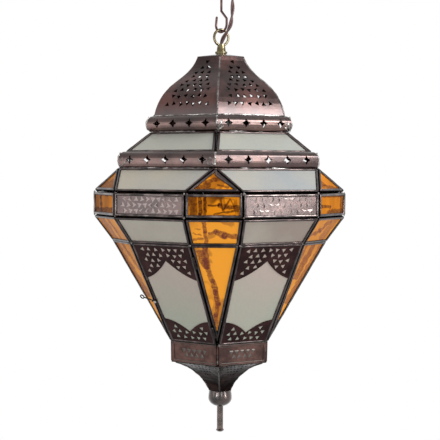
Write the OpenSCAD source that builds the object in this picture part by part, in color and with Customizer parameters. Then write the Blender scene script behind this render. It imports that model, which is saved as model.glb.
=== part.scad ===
// Hanging glass lantern: a six-sided crown, two rolled bands, five tiers of glass panes held in
// metal cames, a hinged door, a finial, and the lampholder, hook, cord and ceiling rose it hangs by.
// The ceiling plane is z = 0, the lantern hangs below it, and a corner of the six sides faces -Y.

/* [Hanging] */
// Drop from the ceiling to the top edge of the dome
hang_drop = 121; // [118:1:150]
// Radius of the ceiling rose
rose_r = 52; // [45:1:70]
// Depth of the ceiling rose
rose_h = 30; // [28:1:31]
// Radius of the flat bottom of the ceiling rose
rose_flat_r = 26; // [25:1:32]
// Wall of the ceiling rose
rose_wall = 1.5; // [1:0.1:3]
// Distance between the two ceiling screw holes
screw_spacing = 66; // [60:1:72]
// Radius of the ceiling screw holes
screw_hole_r = 2.2; // [1.8:0.1:2.6]
// Width of the ceiling bar
bar_w = 16; // [12:1:18]
// Thickness of the ceiling bar
bar_t = 2; // [1.5:0.1:3]
// Depth of the ceiling bar's bridge
bar_drop = 16; // [12:1:18]
// Radius of the hook's wire
hook_wire_r = 1.65; // [1.4:0.05:2]
// Radius of the hook's bowl, to the centre of its wire
hook_bowl_r = 11; // [9:0.5:13]
// Turn of the hook about the vertical
hook_turn = -45; // [-60:1:-30]
// Height of the bowl's free limb above the bowl's centre
hook_limb_h = 10; // [7:1:14]
// Height of the crook, where the other limb turns back to the axis, above the bowl's centre
hook_crook_h = 7; // [4:1:9]
// Height of the shank's foot above the bowl's centre
hook_shank_h = 18; // [14:1:24]
// Radius of the hook's threaded end
hook_thread_r = 2.5; // [2.2:0.1:3]
// Diameter of the two-core cord
cord_d = 5.6; // [4.5:0.1:6]
// Radius of the suspension ring, to the centre of its wire
ring_r = 11; // [9:0.5:13]
// Radius of the suspension ring's wire
ring_wire_r = 1.8; // [1.5:0.1:2.2]
// Turn of the suspension ring about the vertical
ring_turn = 30; // [10:1:40]
// Height of the loop's tapered neck
neck_body_h = 10; // [8:0.5:14]
// Height of the loop's flange
flange_h = 3.5; // [2:0.5:5]
// Height of the loop's foot
foot_h = 1.8; // [1:0.2:3]

/* [Crown] */
// Height of the shallow cap over the dome
cap_h = 3.6; // [2:0.2:8]
// Thickness of the sheet metal
sheet_t = 1; // [0.8:0.1:1.4]
// Corner radius of the dome's top edge
dome_top_r = 36.5; // [30:0.5:42]
// Corner radius of the dome's rim
dome_rim_r = 102; // [97:1:103]
// Height of the dome
dome_h = 83; // [75:1:95]
// Height of each rolled band
band_h = 22; // [18:1:26]
// Corner radius of the upper band
upper_band_r = 114; // [112:1:118]
// Corner radius of the lower band
lower_band_r = 155; // [153:1:158]

/* [Tiers] */
// Height of the neck tier
neck_h = 26.5; // [20:0.5:34]
// Height of the shoulder tier
shoulder_h = 30.5; // [24:0.5:36]
// Height of the waist tier
waist_h = 33.2; // [28:0.2:38]
// Height of the belly tier
belly_h = 34.8; // [30:0.2:45]
// Height of the tall tier
tall_h = 139; // [125:1:155]
// Height of the collar
collar_h = 28; // [24:1:32]
// Corner radius of the neck's top edge
neck_top_r = 107; // [104:1:108]
// Corner radius of the neck's bottom edge
neck_foot_r = 143.5; // [140:0.5:145]
// Corner radius of the shoulder's top edge
shoulder_top_r = 154; // [151:1:154]
// Corner radius of the waist
waist_r = 179; // [170:1:186]
// Corner radius of the belly's bottom edge
belly_foot_r = 153; // [148:0.5:158]
// Half angle that an amber face spans at each corner
amber_angle = 11.8; // [10:0.1:13]
// Corner radius of the collar's top edge
collar_top_r = 77; // [74:1:82]
// How much smaller the collar's corner radius is at its bottom edge
collar_taper = 0.5; // [0:0.5:4]

/* [Cames and panes] */
// Face width of the metal cames
came_w = 3.3; // [2.8:0.1:4]
// Depth of the metal cames
came_t = 4.5; // [4:0.1:5.5]
// Thickness of the glass
glass_t = 2.4; // [2:0.1:3]
// How far a pane reaches into its groove
bite = 1.6; // [1:0.1:2]
// Thickness of the embossed and pierced plates
plate_t = 0.9; // [0.6:0.1:1]
// Height of the embossed triangles
emboss_h = 1; // [0.5:0.1:1.2]

/* [Patterns] */
// Size of the dome's holes, centre to corner
dome_hole_r = 4; // [2.6:0.1:4.2]
// Spacing of the dome's holes
dome_hole_pitch = 10.6; // [9.8:0.2:11.4]
// Size of the bands' star holes, centre to point
star_r = 6.2; // [4:0.1:6.4]
// Radius of a star's notches, as a share of its points' radius
star_notch = 0.5; // [0.35:0.01:0.6]
// Holes on each side of the upper band
upper_star_count = 4; // [3:1:5]
// Holes on each side of the lower band
lower_star_count = 5; // [4:1:6]
// Size of the filigree's holes, centre to corner
filigree_hole_r = 4.3; // [2.6:0.1:4.4]
// Depth of the upper filigree at its sides
upper_filigree_side = 51; // [46:1:60]
// Depth of the upper filigree at its middle
upper_filigree_mid = 22; // [18:1:30]
// Depth of the lower filigree at its sides
lower_filigree_side = 34; // [28:1:40]
// Depth of the lower filigree at its middle
lower_filigree_mid = 15; // [12:1:22]

/* [Finial] */
// Height of the concave funnel
funnel_h = 46; // [40:1:56]
// Corner radius of the funnel's bottom edge
funnel_foot_r = 17.5; // [16:0.5:18]
// Radius of the ball
ball_r = 16.6; // [16:0.2:19]
// Height of the ball
ball_h = 24; // [19:0.5:26]
// Radius of the finial rod
rod_r = 4.4; // [3.5:0.1:5]
// Length of the finial rod below the ball
rod_drop = 32; // [24:1:45]
// Length of the finial rod above the ball, inside the funnel
rod_rise = 18; // [14:1:28]
// Radius of the finial rod's flared tip
tip_r = 5.6; // [5.2:0.1:7]
// Height of the finial rod's flared tip
tip_h = 4.4; // [3:0.2:6]

/* [Door] */
// Radius of the hinge knuckles
knuckle_r = 1.9; // [1.6:0.1:2.4]
// Length of each hinge knuckle
knuckle_l = 5; // [4:0.5:7]
// Radius of the hinge pins
pin_r = 0.9; // [0.7:0.05:1.1]
// Radius of the latch wire
latch_wire_r = 0.8; // [0.6:0.05:1]
// Length of the latch from its rivet to the centre of its finger ring
latch_l = 21; // [16:0.5:26]
// Radius of the latch's finger ring, to the centre of its wire
latch_ring_r = 2.7; // [2:0.1:4]
// Height of the latch above the bottom edge of the door
latch_y = 67; // [55:1:80]

/* [Lamp] */
// Radius of the threaded nipple
nipple_r = 5; // [4.5:0.1:5.2]
// Length of the threaded nipple
nipple_l = 46; // [40:1:60]
// Height of the lampholder's cap
holder_cap_h = 20; // [16:1:26]
// Radius of the lampholder's shell
holder_r = 19; // [17.5:0.5:23]
// Height of the lampholder's shell
holder_h = 38; // [30:1:46]
// Radius of the bulb's screw base
base_r = 13; // [12:0.5:13.5]
// Radius of the bulb's glass globe
globe_r = 30; // [22:1:40]

/* [Hidden] */
$fn = 48;

// clearances
seam_gap = 0.1;      // between neighbouring cames at their inner corners
door_gap = 0.4;      // round the door
fit_gap = 0.1;       // between a pane and its groove
lay_gap = 0.05;      // between pieces that lie on one another
run_gap = 0.05;      // radial, where a pin or rivet turns
cut = 1;             // how far a cutting tool runs past what it cuts

// levels, from the ceiling down
dome_top_z = -hang_drop;
dome_rim_z = dome_top_z - dome_h;
neck_top_z = dome_rim_z - band_h;
neck_foot_z = neck_top_z - neck_h;
shoulder_top_z = neck_foot_z - band_h;
waist_top_z = shoulder_top_z - shoulder_h;
waist_foot_z = waist_top_z - waist_h;
belly_foot_z = waist_foot_z - belly_h;
collar_top_z = belly_foot_z - tall_h;
collar_foot_z = collar_top_z - collar_h;
collar_foot_r = collar_top_r - collar_taper;
funnel_foot_z = collar_foot_z - funnel_h;
ball_foot_z = funnel_foot_z - ball_h;
cap_top_z = dome_top_z + lay_gap + cap_h;
flange_z = cap_top_z + lay_gap + foot_h;
loop_neck_z = flange_z + flange_h;
loop_top_z = loop_neck_z + neck_body_h;
ring_z = loop_top_z - ring_wire_r + ring_r;
bowl_z = ring_z + ring_r - ring_wire_r - hook_wire_r - lay_gap;
nipple_top_z = flange_z + flange_h / 2;
holder_top_z = nipple_top_z - nipple_l + 8;

// A ring of corners: corner radius, half angle of its amber faces, height
neck_top = [neck_top_r, 0, neck_top_z];
neck_foot = [neck_foot_r, 0, neck_foot_z];
shoulder_top = [shoulder_top_r, 0, shoulder_top_z];
waist_top = [waist_r, amber_angle, waist_top_z];
waist_foot = [waist_r, amber_angle, waist_foot_z];
belly_foot = [belly_foot_r, amber_angle, belly_foot_z];
collar_top = [collar_top_r, 0, collar_top_z];
collar_foot = [collar_foot_r, 0, collar_foot_z];

// Two kinds of face: the wide ones on the six sides and the narrow amber ones on the six corners
function azimuth(kind, k) = (kind == "wide" ? -60 : -90) + 60 * k;
function half_angle(kind, ring) = kind == "wide" ? 30 - ring[1] : ring[1];
function edge(kind, ring) = [ring[0] * cos(half_angle(kind, ring)), ring[2]];
function half_width(kind, ring) = ring[0] * sin(half_angle(kind, ring));

// Outward normal of face k between two rings
function normal(kind, low, high, k = 0) =
    let (rise = edge(kind, high) - edge(kind, low), s = rise / norm(rise), a = azimuth(kind, k))
    [cos(a) * s[1], sin(a) * s[1], -s[0]];

// How far a came's side stands in from the seam, so that its inner corner clears its neighbour's
function mitre(n1, n2) = came_t * tan(acos(min(1, n1 * n2)) / 2) + seam_gap / 2;

// The same for the level seam between an upper and a lower face: where the fold is hollow, the outer
// corners are the ones that meet
function level_seam(upper, lower) = upper[2] > lower[2] ? mitre(upper, lower) : seam_gap / 2;

// Outline of a face in its own plane, bottom edge on y = 0, counterclockwise
function outline(kind, low, high) =
    let (a = half_width(kind, low), b = half_width(kind, high),
         l = norm(edge(kind, high) - edge(kind, low)))
    a == 0 ? [[0, 0], [b, l], [-b, l]]
    : b == 0 ? [[-a, 0], [a, 0], [0, l]]
    : [[-a, 0], [a, 0], [b, l], [-b, l]];

function edge_normal(p, i) = let (e = p[(i + 1) % len(p)] - p[i]) [-e[1], e[0]] / norm(e);

// Outline p with its edge i moved inward by d[i]
function inset(p, d) = [for (i = [0:len(p) - 1])
    let (j = (i + len(p) - 1) % len(p), a = edge_normal(p, j), b = edge_normal(p, i),
         u = a * p[i] + d[j], v = b * p[i] + d[i], q = a[0] * b[1] - a[1] * b[0])
    [(u * b[1] - v * a[1]) / q, (a[0] * v - b[0] * u) / q]];

function all_sides(p, d) = [for (i = p) d];

// A came's outer outline: the face's outline set in by its foot, side and top seams
function came_outline(kind, low, high, foot, side, top) =
    let (p = outline(kind, low, high))
    inset(p, len(p) == 4 ? [foot, side, top, side]
        : half_width(kind, low) == 0 ? [side, top, side] : [foot, side, side]);

function unit(v) = v / norm(v);

// Outline p with its foot or top corners cut back by c along the end and l along the sides
function cut_foot(p, c, l) = [p[0] + [c, 0], p[1] - [c, 0], p[1] + l * unit(p[2] - p[1]), p[2], p[3],
    p[0] + l * unit(p[3] - p[0])];
function cut_top(p, c, l) = [p[0], p[1], p[2] - l * unit(p[2] - p[1]), p[2] - [c, 0], p[3] + [c, 0],
    p[3] - l * unit(p[3] - p[0])];

// Seam insets, from the angles between neighbouring faces
neck_side = mitre(normal("wide", neck_foot, neck_top, 0), normal("wide", neck_foot, neck_top, 1));
shoulder_side =
    mitre(normal("wide", waist_top, shoulder_top, 0), normal("narrow", waist_top, shoulder_top, 1));
waist_side = mitre(normal("wide", waist_foot, waist_top, 0), normal("narrow", waist_foot, waist_top, 1));
belly_side = mitre(normal("wide", belly_foot, waist_foot, 0), normal("narrow", belly_foot, waist_foot, 1));
tall_side = mitre(normal("wide", collar_top, belly_foot, 0), normal("narrow", collar_top, belly_foot, 1));
collar_side = mitre(normal("wide", collar_foot, collar_top, 0), normal("wide", collar_foot, collar_top, 1));
shoulder_foot_seam =
    level_seam(normal("wide", waist_top, shoulder_top), normal("wide", waist_foot, waist_top));
waist_foot_seam =
    level_seam(normal("wide", waist_foot, waist_top), normal("wide", belly_foot, waist_foot));
belly_foot_seam =
    level_seam(normal("wide", belly_foot, waist_foot), normal("wide", collar_top, belly_foot));
amber_foot_seam =
    level_seam(normal("narrow", belly_foot, waist_foot), normal("narrow", collar_top, belly_foot));
tall_foot_seam = level_seam(normal("wide", collar_top, belly_foot), normal("wide", collar_foot, collar_top));

neck_shape = came_outline("wide", neck_foot, neck_top, lay_gap, neck_side, lay_gap);
shoulder_cream_shape =
    came_outline("wide", waist_top, shoulder_top, shoulder_foot_seam, shoulder_side, lay_gap);
shoulder_amber_shape =
    came_outline("narrow", waist_top, shoulder_top, shoulder_foot_seam, shoulder_side, lay_gap);
waist_plate_shape =
    came_outline("wide", waist_foot, waist_top, waist_foot_seam, waist_side, shoulder_foot_seam);
waist_amber_shape =
    came_outline("narrow", waist_foot, waist_top, waist_foot_seam, waist_side, shoulder_foot_seam);
belly_cream_shape =
    came_outline("wide", belly_foot, waist_foot, belly_foot_seam, belly_side, waist_foot_seam);
belly_amber_shape =
    came_outline("narrow", belly_foot, waist_foot, amber_foot_seam, belly_side, waist_foot_seam);
tall_cream_shape =
    came_outline("wide", collar_top, belly_foot, tall_foot_seam, tall_side, belly_foot_seam);
tall_amber_shape =
    came_outline("narrow", collar_top, belly_foot, tall_foot_seam, tall_side, amber_foot_seam);
door_shape = came_outline("wide", collar_top, belly_foot,
    tall_foot_seam + door_gap, tall_side + door_gap, belly_foot_seam + door_gap);
collar_shape = came_outline("wide", collar_foot, collar_top, lay_gap, collar_side, tall_foot_seam);

// Where an amber face narrows to a point, the cream cames beside it meet each other at a sharper fold
shoulder_fold =
    mitre(normal("wide", waist_top, shoulder_top, 0), normal("wide", waist_top, shoulder_top, 1));
tall_fold = mitre(normal("wide", collar_top, belly_foot, 0), normal("wide", collar_top, belly_foot, 1));
shoulder_cream_rim = cut_top(shoulder_cream_shape, shoulder_fold - shoulder_side + 0.3, 7);
tall_cream_rim = cut_foot(tall_cream_shape, tall_fold - tall_side + 0.3, 10);
door_rim = cut_foot(door_shape, tall_fold - tall_side + 0.3, 10);

// Depths inside a came, from its outer face
glass_z = -(came_t + glass_t) / 2;
glass_face_z = glass_z + glass_t;
groove_z = glass_z - fit_gap / 2;
groove_t = glass_t + fit_gap;

door_k = 5;          // the front left side is the door
metal = [0.33, 0.22, 0.2];
dark_metal = [0.2, 0.14, 0.13];
brass = [0.62, 0.55, 0.33];
cream = [0.68, 0.66, 0.6];
amber = [0.9, 0.58, 0.16];
copper_wire = [0.42, 0.27, 0.24];

// Stands children on face k: x along the face, y up its slope, z outward, y = 0 on its bottom edge
module on_face(kind, low, high, k) {
    a = edge(kind, low);
    b = edge(kind, high);
    rotate([0, 0, azimuth(kind, k) + 90])
        translate([0, -a[0], a[1]])
            rotate([atan2(b[1] - a[1], a[0] - b[0]), 0, 0])
                children();
}

module slab(shape, z, t) translate([0, 0, z]) linear_extrude(t) polygon(shape);

// A came round a pane: rim is its outer outline where corners are cut away from shape
module came(shape, rim = undef) {
    difference() {
        slab(rim == undef ? shape : rim, -came_t, came_t);
        slab(inset(shape, all_sides(shape, came_w)), -came_t - cut, came_t + 2 * cut);
        slab(inset(shape, all_sides(shape, came_w - bite)), groove_z, groove_t);
    }
}

module pane(shape) slab(inset(shape, all_sides(shape, came_w - bite + fit_gap)), glass_z, glass_t);

module six(kind, low, high, from = 0, to = 5) {
    for (k = [from:to])
        on_face(kind, low, high, k) children();
}

// Three-cornered prism that stands across z = 0
module three_corner(r, h, turn) rotate([0, 0, turn]) cylinder(r = r, h = h, center = true, $fn = 3);

// The golden angle turns each triangle of a pattern another way
function scatter(i) = i * 137.5;

// How far a hand-cut mark of a pattern strays from its place
hand_play = 0.7;
function stray(i) = hand_play * [cos(i * 97), sin(i * 173)];

// A low three-sided pyramid, as a chasing punch raises
module raised_corner(r, h, turn) rotate([0, 0, turn]) cylinder(r1 = r, r2 = r / 6, h = h, $fn = 3);

// One of the six sides of a bent sheet: section is a list of [apothem, z] points
module sheet_side(section, reach) {
    low = min([for (p = section) p[1]]) - cut;
    high = max([for (p = section) p[1]]) + cut;
    intersection() {
        rotate([90, 0, 90])
            linear_extrude(2 * reach, center = true)
                polygon([for (p = section) [-p[0], p[1]]]);
        translate([0, -seam_gap, low])
            linear_extrude(high - low)
                polygon([[0, 0], [-reach, -reach / tan(30)], [reach, -reach / tan(30)]]);
    }
}

// ---- ceiling rose, hook and cord ----

rose_curve = [for (a = [0:10:90])
    [rose_flat_r + (rose_r - rose_flat_r) * sin(a), -rose_h + rose_h * 0.8 * (1 - cos(a))]];
thread_top_z = -4;
thread_below = 6;    // how far the hook's thread reaches below the rose
limb_lean = 1.5;     // how far the bowl's free limb leans in
nut_h = 4;
nut_r = 4.6;
round_nut_r = 5.5;
bush_at = [16, -10];
bush_flange_r = 6;
bush_flange_t = 2;
bush_wall = 1.4;
bush_l = 10;
cord_hole_r = cord_d / 2 + run_gap;

module ceiling_rose() {
    color(metal)
        difference() {
            rotate_extrude()
                polygon(concat([[0, -rose_h]], rose_curve, [[rose_r, 0], [rose_r - rose_wall, 0]],
                    [for (i = [len(rose_curve) - 1:-1:0])
                        [max(0, rose_curve[i][0] - rose_wall), rose_curve[i][1] + rose_wall]],
                    [[0, rose_wall - rose_h]]));
            translate([0, 0, -rose_h - cut])
                cylinder(r = hook_thread_r + fit_gap, h = rose_wall + 2 * cut);
            translate([bush_at[0], bush_at[1], -rose_h - cut])
                cylinder(r = cord_hole_r + bush_wall + run_gap, h = rose_wall + 2 * cut);
        }
}

module ceiling_bar() {
    end = screw_spacing / 2 + 6;
    leg = screw_spacing / 2 - 8;
    color("silver")
        difference() {
            rotate([90, 0, 0])
                linear_extrude(bar_w, center = true)
                    polygon([[-end, 0], [-end, -bar_t], [-leg - bar_t, -bar_t], [-leg - bar_t, -bar_drop],
                        [leg + bar_t, -bar_drop], [leg + bar_t, -bar_t], [end, -bar_t], [end, 0], [leg, 0],
                        [leg, bar_t - bar_drop], [-leg, bar_t - bar_drop], [-leg, 0]]);
            for (side = [-1, 1])
                translate([side * screw_spacing / 2, 0, -bar_t - cut])
                    cylinder(r = screw_hole_r, h = bar_t + 2 * cut);
            translate([0, 0, -bar_drop - cut])
                cylinder(r = hook_thread_r + fit_gap, h = bar_t + 2 * cut);
        }
}

// Round bar with ball ends between two points of the hook's plane
module wire_between(p, q, r) {
    d = q - p;
    translate([p[0], 0, p[1]]) {
        sphere(r);
        rotate([0, atan2(d[0], d[1]), 0]) cylinder(r = r, h = norm(d));
    }
    translate([q[0], 0, q[1]]) sphere(r);
}

module hook() {
    centre_z = bowl_z + hook_bowl_r;
    crook = [hook_bowl_r, centre_z + hook_crook_h];
    shank = [0, centre_z + hook_shank_h];
    thread_foot_z = -rose_h - thread_below;
    color(copper_wire)
        rotate([0, 0, hook_turn]) {
            translate([0, 0, centre_z])
                rotate([90, 180, 0])
                    rotate_extrude(angle = 180)
                        translate([hook_bowl_r, 0]) circle(hook_wire_r);
            wire_between([-hook_bowl_r, centre_z], [limb_lean - hook_bowl_r, centre_z + hook_limb_h],
                hook_wire_r);
            wire_between([hook_bowl_r, centre_z], crook, hook_wire_r);
            wire_between(crook, shank, hook_wire_r);
            translate([shank[0], 0, shank[1]])
                cylinder(r = hook_wire_r, h = thread_foot_z - shank[1]);
            translate([0, 0, thread_foot_z])
                cylinder(r = hook_thread_r, h = thread_top_z - thread_foot_z);
        }
}

module nut(r, h, bore_r, sides) {
    difference() {
        cylinder(r = r, h = h, $fn = sides);
        translate([0, 0, -cut]) cylinder(r = bore_r, h = h + 2 * cut);
    }
}

module hook_nuts() {
    color("silver") {
        translate([0, 0, bar_t - bar_drop + lay_gap]) nut(nut_r, nut_h, hook_thread_r + run_gap, 6);
        translate([0, 0, -rose_h - nut_h - lay_gap])
            nut(round_nut_r, nut_h, hook_thread_r + run_gap, 32);
    }
}

module cord_bush() {
    color("black")
        translate([bush_at[0], bush_at[1], 0])
            difference() {
                union() {
                    translate([0, 0, -rose_h - bush_flange_t - lay_gap])
                        cylinder(r = bush_flange_r, h = bush_flange_t);
                    translate([0, 0, -rose_h - bush_flange_t - lay_gap])
                        cylinder(r = cord_hole_r + bush_wall, h = bush_l);
                }
                translate([0, 0, -rose_h - bush_flange_t - cut])
                    cylinder(r = cord_hole_r, h = bush_l + 2 * cut);
            }
}

// The cord's route, from the wire way of the loop up to the bush in the ceiling rose
cord_route = [
    [0, 0, -112], [0, 0, -107], [0, 0, -102], [1.5, -2, -97], [4.8, -6, -91], [9, -9, -85],
    [12.4, -12, -79], [14.4, -13, -72], [15.4, -13, -64], [16, -12, -56], [16, -11, -47], [16, -10, -38],
    [16, -10, -30], [16, -10, -20]
];
cord_sides = 10;
cord_steps = 2;      // rings per stretch of the route

// Catmull-Rom curve through the route's points
function route_point(p, i) = p[min(max(i, 0), len(p) - 1)];
function spline(a, b, c, d, t) =
    0.5 * ((2 * b) + (c - a) * t + (2 * a - 5 * b + 4 * c - d) * t * t + (3 * b - a - 3 * c + d) * pow(t, 3));
function smooth(p, steps) = concat(
    [for (i = [0:len(p) - 2]) for (s = [0:steps - 1])
        spline(route_point(p, i - 1), p[i], p[i + 1], route_point(p, i + 2), s / steps)],
    [p[len(p) - 1]]);
module tube_along(path, r, sides) {
    n = len(path);
    side_way = [0, 1, 0];
    rings = [for (i = [0:n - 1])
        let (along = unit(path[min(i + 1, n - 1)] - path[max(i - 1, 0)]),
             u = unit(cross(side_way, along)), v = cross(along, u))
        for (k = [0:sides - 1]) path[i] + r * (cos(360 * k / sides) * u + sin(360 * k / sides) * v)];
    walls = [for (i = [0:n - 2]) for (k = [0:sides - 1])
        let (a = i * sides + k, b = i * sides + (k + 1) % sides)
        [a, a + sides, b + sides, b]];
    ends = [[for (k = [0:sides - 1]) k], [for (k = [sides - 1:-1:0]) (n - 1) * sides + k]];
    polyhedron(points = rings, faces = concat(walls, ends), convexity = 6);
}

module cord() {
    color([0.36, 0.2, 0.18]) tube_along(smooth(cord_route, cord_steps), cord_d / 2, cord_sides);
}

// ---- loop, nipple and cap ----

loop_foot_r = 7;
loop_flange_r = 8.6;
loop_neck_r = 6.4;
loop_mouth_r = 4.9;
washer_r = 11;
washer_t = 1.5;
thread_gap = 0.05;
wire_way_r = cord_d / 2 + 0.4;

module suspension_loop() {
    color(brass)
        difference() {
            union() {
                rotate_extrude()
                    polygon([[0, cap_top_z + lay_gap], [loop_foot_r, cap_top_z + lay_gap],
                        [loop_foot_r, flange_z], [loop_flange_r, flange_z + 0.6],
                        [loop_flange_r, loop_neck_z - 0.6], [loop_neck_r, loop_neck_z],
                        [loop_neck_r - 0.4, loop_neck_z + 4], [loop_mouth_r, loop_top_z], [0, loop_top_z]]);
                translate([0, 0, ring_z])
                    rotate([90, 0, ring_turn])
                        rotate_extrude() translate([ring_r, 0]) circle(ring_wire_r);
            }
            translate([0, 0, cap_top_z])
                cylinder(r = nipple_r + thread_gap, h = nipple_top_z - cap_top_z + lay_gap);
            translate([0, 0, cap_top_z])
                cylinder(r = wire_way_r, h = ring_z - cap_top_z);
        }
}

module nipple() {
    color("silver")
        translate([0, 0, nipple_top_z - nipple_l])
            nut(nipple_r, nipple_l, nipple_r - 1.3, 48);
}

module nipple_washer() {
    color("silver")
        translate([0, 0, cap_under_z - washer_t - lay_gap])
            nut(washer_r, washer_t, nipple_r + fit_gap, 48);
}

module nipple_nut() {
    color("silver")
        translate([0, 0, cap_under_z - washer_t - nut_h - 2 * lay_gap])
            nut(8, nut_h, nipple_r + thread_gap, 6);
}

cap_under_z = cap_top_z - sheet_t;
cap_flat_r = 14;

module top_cap() {
    color(metal)
        difference() {
            translate([0, 0, dome_top_z + lay_gap])
                rotate([0, 0, 30])
                    cylinder(r1 = dome_top_r + 0.5, r2 = cap_flat_r, h = cap_h, $fn = 6);
            translate([0, 0, dome_top_z + lay_gap - sheet_t])
                rotate([0, 0, 30])
                    cylinder(r1 = dome_top_r + 0.5, r2 = cap_flat_r, h = cap_h, $fn = 6);
            translate([0, 0, dome_top_z])
                cylinder(r = nipple_r + fit_gap, h = cap_h + 2 * cut);
        }
}

// ---- dome ----

function bezier(p, t) = pow(1 - t, 3) * p[0] + 3 * t * pow(1 - t, 2) * p[1]
    + 3 * t * t * (1 - t) * p[2] + pow(t, 3) * p[3];
function bezier_way(p, t) = unit(pow(1 - t, 2) * (p[1] - p[0]) + 2 * t * (1 - t) * (p[2] - p[1])
    + t * t * (p[3] - p[2]));

// Section of a bent sheet: its curve, and the same curve a sheet's thickness inside
function sheet_section(p, steps) = concat(
    [for (i = [0:steps]) bezier(p, i / steps)],
    [for (i = [steps:-1:0])
        let (w = bezier_way(p, i / steps)) bezier(p, i / steps) + sheet_t * [w[1], -w[0]]]);

// The dome's side, from its top edge down to its rim: concave above and full below
dome_spread = dome_rim_r - dome_top_r;
rim_gap = sheet_t / 3;
dome_curve = [for (q = [[0, 0], [0.2, 0.43], [0.82, 0.4], [1, 1]])
    [(dome_top_r + q[0] * dome_spread) * cos(30), dome_top_z - q[1] * (dome_h - rim_gap)]];
dome_rows = 9;
dome_margin = 15;

module curve_hole(curve, t, x, r, turn) {
    at = bezier(curve, t);
    way = bezier_way(curve, t);
    translate([x, -at[0], at[1]])
        rotate([atan2(-way[1], way[0]), 0, 0])
            three_corner(r, 4 * sheet_t, turn);
}

module dome_panel(k) {
    color(metal)
        rotate([0, 0, azimuth("wide", k) + 90])
            difference() {
                sheet_side(sheet_section(dome_curve, 16), dome_rim_r);
                for (row = [0:dome_rows - 1]) {
                    t = 0.885 - 0.1 * row;
                    room = bezier(dome_curve, t)[0] * tan(30) - dome_margin;
                    count = 1 + floor(2 * room / dome_hole_pitch);
                    for (i = [0:count - 1]) {
                        off = stray(i + 3 * row + k);
                        curve_hole(dome_curve, t + off[1] / dome_h,
                            (i - (count - 1) / 2) * dome_hole_pitch + off[0], dome_hole_r,
                            scatter(i + 3 * row + k));
                    }
                }
            }
}

// ---- rolled bands ----

// Half-round section: top_in and foot_in are how far its lips stand inside its outermost line, and
// skirt is how far its foot reaches down behind the cames below
function roll_section(out, top_in, foot_in, skirt, middle_z) = concat(
    [for (a = [90:-10:0]) [out - top_in * (1 - cos(a)), middle_z + band_roll * sin(a)]],
    [for (a = [-10:-10:-90]) [out - foot_in * (1 - cos(a)), middle_z + band_roll * sin(a)]],
    [for (q = [[0, -skirt], [-sheet_t, -skirt], [-sheet_t, sheet_t]])
        [out - foot_in + q[0], middle_z - band_roll + q[1]]],
    [for (a = [-90:10:-10])
        [out - foot_in + (foot_in - sheet_t) * cos(a), middle_z + (band_roll - sheet_t) * sin(a)]],
    [for (a = [0:10:90])
        [out - top_in + (top_in - sheet_t) * cos(a), middle_z + (band_roll - sheet_t) * sin(a)]]);
band_roll = band_h / 2 - lay_gap;

module star(h) {
    linear_extrude(h)
        polygon([for (i = [0:7]) (i % 2 == 0 ? star_r : star_r * star_notch) * [cos(45 * i), sin(45 * i)]]);
}

// n is the outward normal of the faces below the band
module rolled_band(corner_r, top_in, foot_r, n, middle_z, count) {
    foot_in = (corner_r - foot_r) * cos(30) + came_t * norm([n[0], n[1]]) + lay_gap;
    skirt = came_t * n[2] + 0.5;
    out = corner_r * cos(30);
    pitch = corner_r / (count + 0.35);
    color(metal)
        for (k = [0:5])
            rotate([0, 0, azimuth("wide", k) + 90])
                difference() {
                    sheet_side(roll_section(out, top_in, foot_in, skirt, middle_z), corner_r);
                    for (i = [0:count - 1])
                        translate([(i - (count - 1) / 2) * pitch, -out + 5, middle_z])
                            rotate([90, 0, 0]) star(10);
                }
}

module upper_band() {
    rolled_band(upper_band_r, upper_band_r * cos(30) - dome_curve[3][0] + sheet_t,
        neck_top_r, normal("wide", neck_foot, neck_top), dome_rim_z - band_h / 2, upper_star_count);
}

module lower_band() {
    rolled_band(lower_band_r, (lower_band_r - neck_foot_r) * cos(30) - lay_gap,
        shoulder_top_r, normal("wide", waist_top, shoulder_top), neck_foot_z - band_h / 2,
        lower_star_count);
}

// ---- tiers of cames and panes ----

module neck_frames() color(metal) six("wide", neck_foot, neck_top) came(neck_shape);
module neck_panes() color(cream) six("wide", neck_foot, neck_top) pane(neck_shape);

module shoulder_cream_frames()
    color(metal) six("wide", waist_top, shoulder_top) came(shoulder_cream_shape, shoulder_cream_rim);
module shoulder_cream_panes()
    color(cream) six("wide", waist_top, shoulder_top) pane(shoulder_cream_shape);
module shoulder_amber_frames()
    color(metal) six("narrow", waist_top, shoulder_top) came(shoulder_amber_shape);
module shoulder_amber_panes()
    color(amber) six("narrow", waist_top, shoulder_top) pane(shoulder_amber_shape);

module waist_plate_frames() color(metal) six("wide", waist_foot, waist_top) came(waist_plate_shape);
module waist_amber_frames() color(metal) six("narrow", waist_foot, waist_top) came(waist_amber_shape);
module waist_amber_panes() color(amber) six("narrow", waist_foot, waist_top) pane(waist_amber_shape);

module belly_cream_frames() color(metal) six("wide", belly_foot, waist_foot) came(belly_cream_shape);
module belly_amber_frames() color(metal) six("narrow", belly_foot, waist_foot) came(belly_amber_shape);
module belly_cream_panes() color(cream) six("wide", belly_foot, waist_foot) pane(belly_cream_shape);
module belly_amber_panes() color(amber) six("narrow", belly_foot, waist_foot) pane(belly_amber_shape);

module tall_cream_frames()
    color(metal) six("wide", collar_top, belly_foot, 0, 4) came(tall_cream_shape, tall_cream_rim);
module tall_cream_panes() color(cream) six("wide", collar_top, belly_foot, 0, 4) pane(tall_cream_shape);
module tall_amber_frames() color(metal) six("narrow", collar_top, belly_foot) came(tall_amber_shape);
module tall_amber_panes() color(amber) six("narrow", collar_top, belly_foot) pane(tall_amber_shape);

module collar_frames() color(metal) six("wide", collar_foot, collar_top) came(collar_shape);

// ---- embossed plates ----

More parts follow.
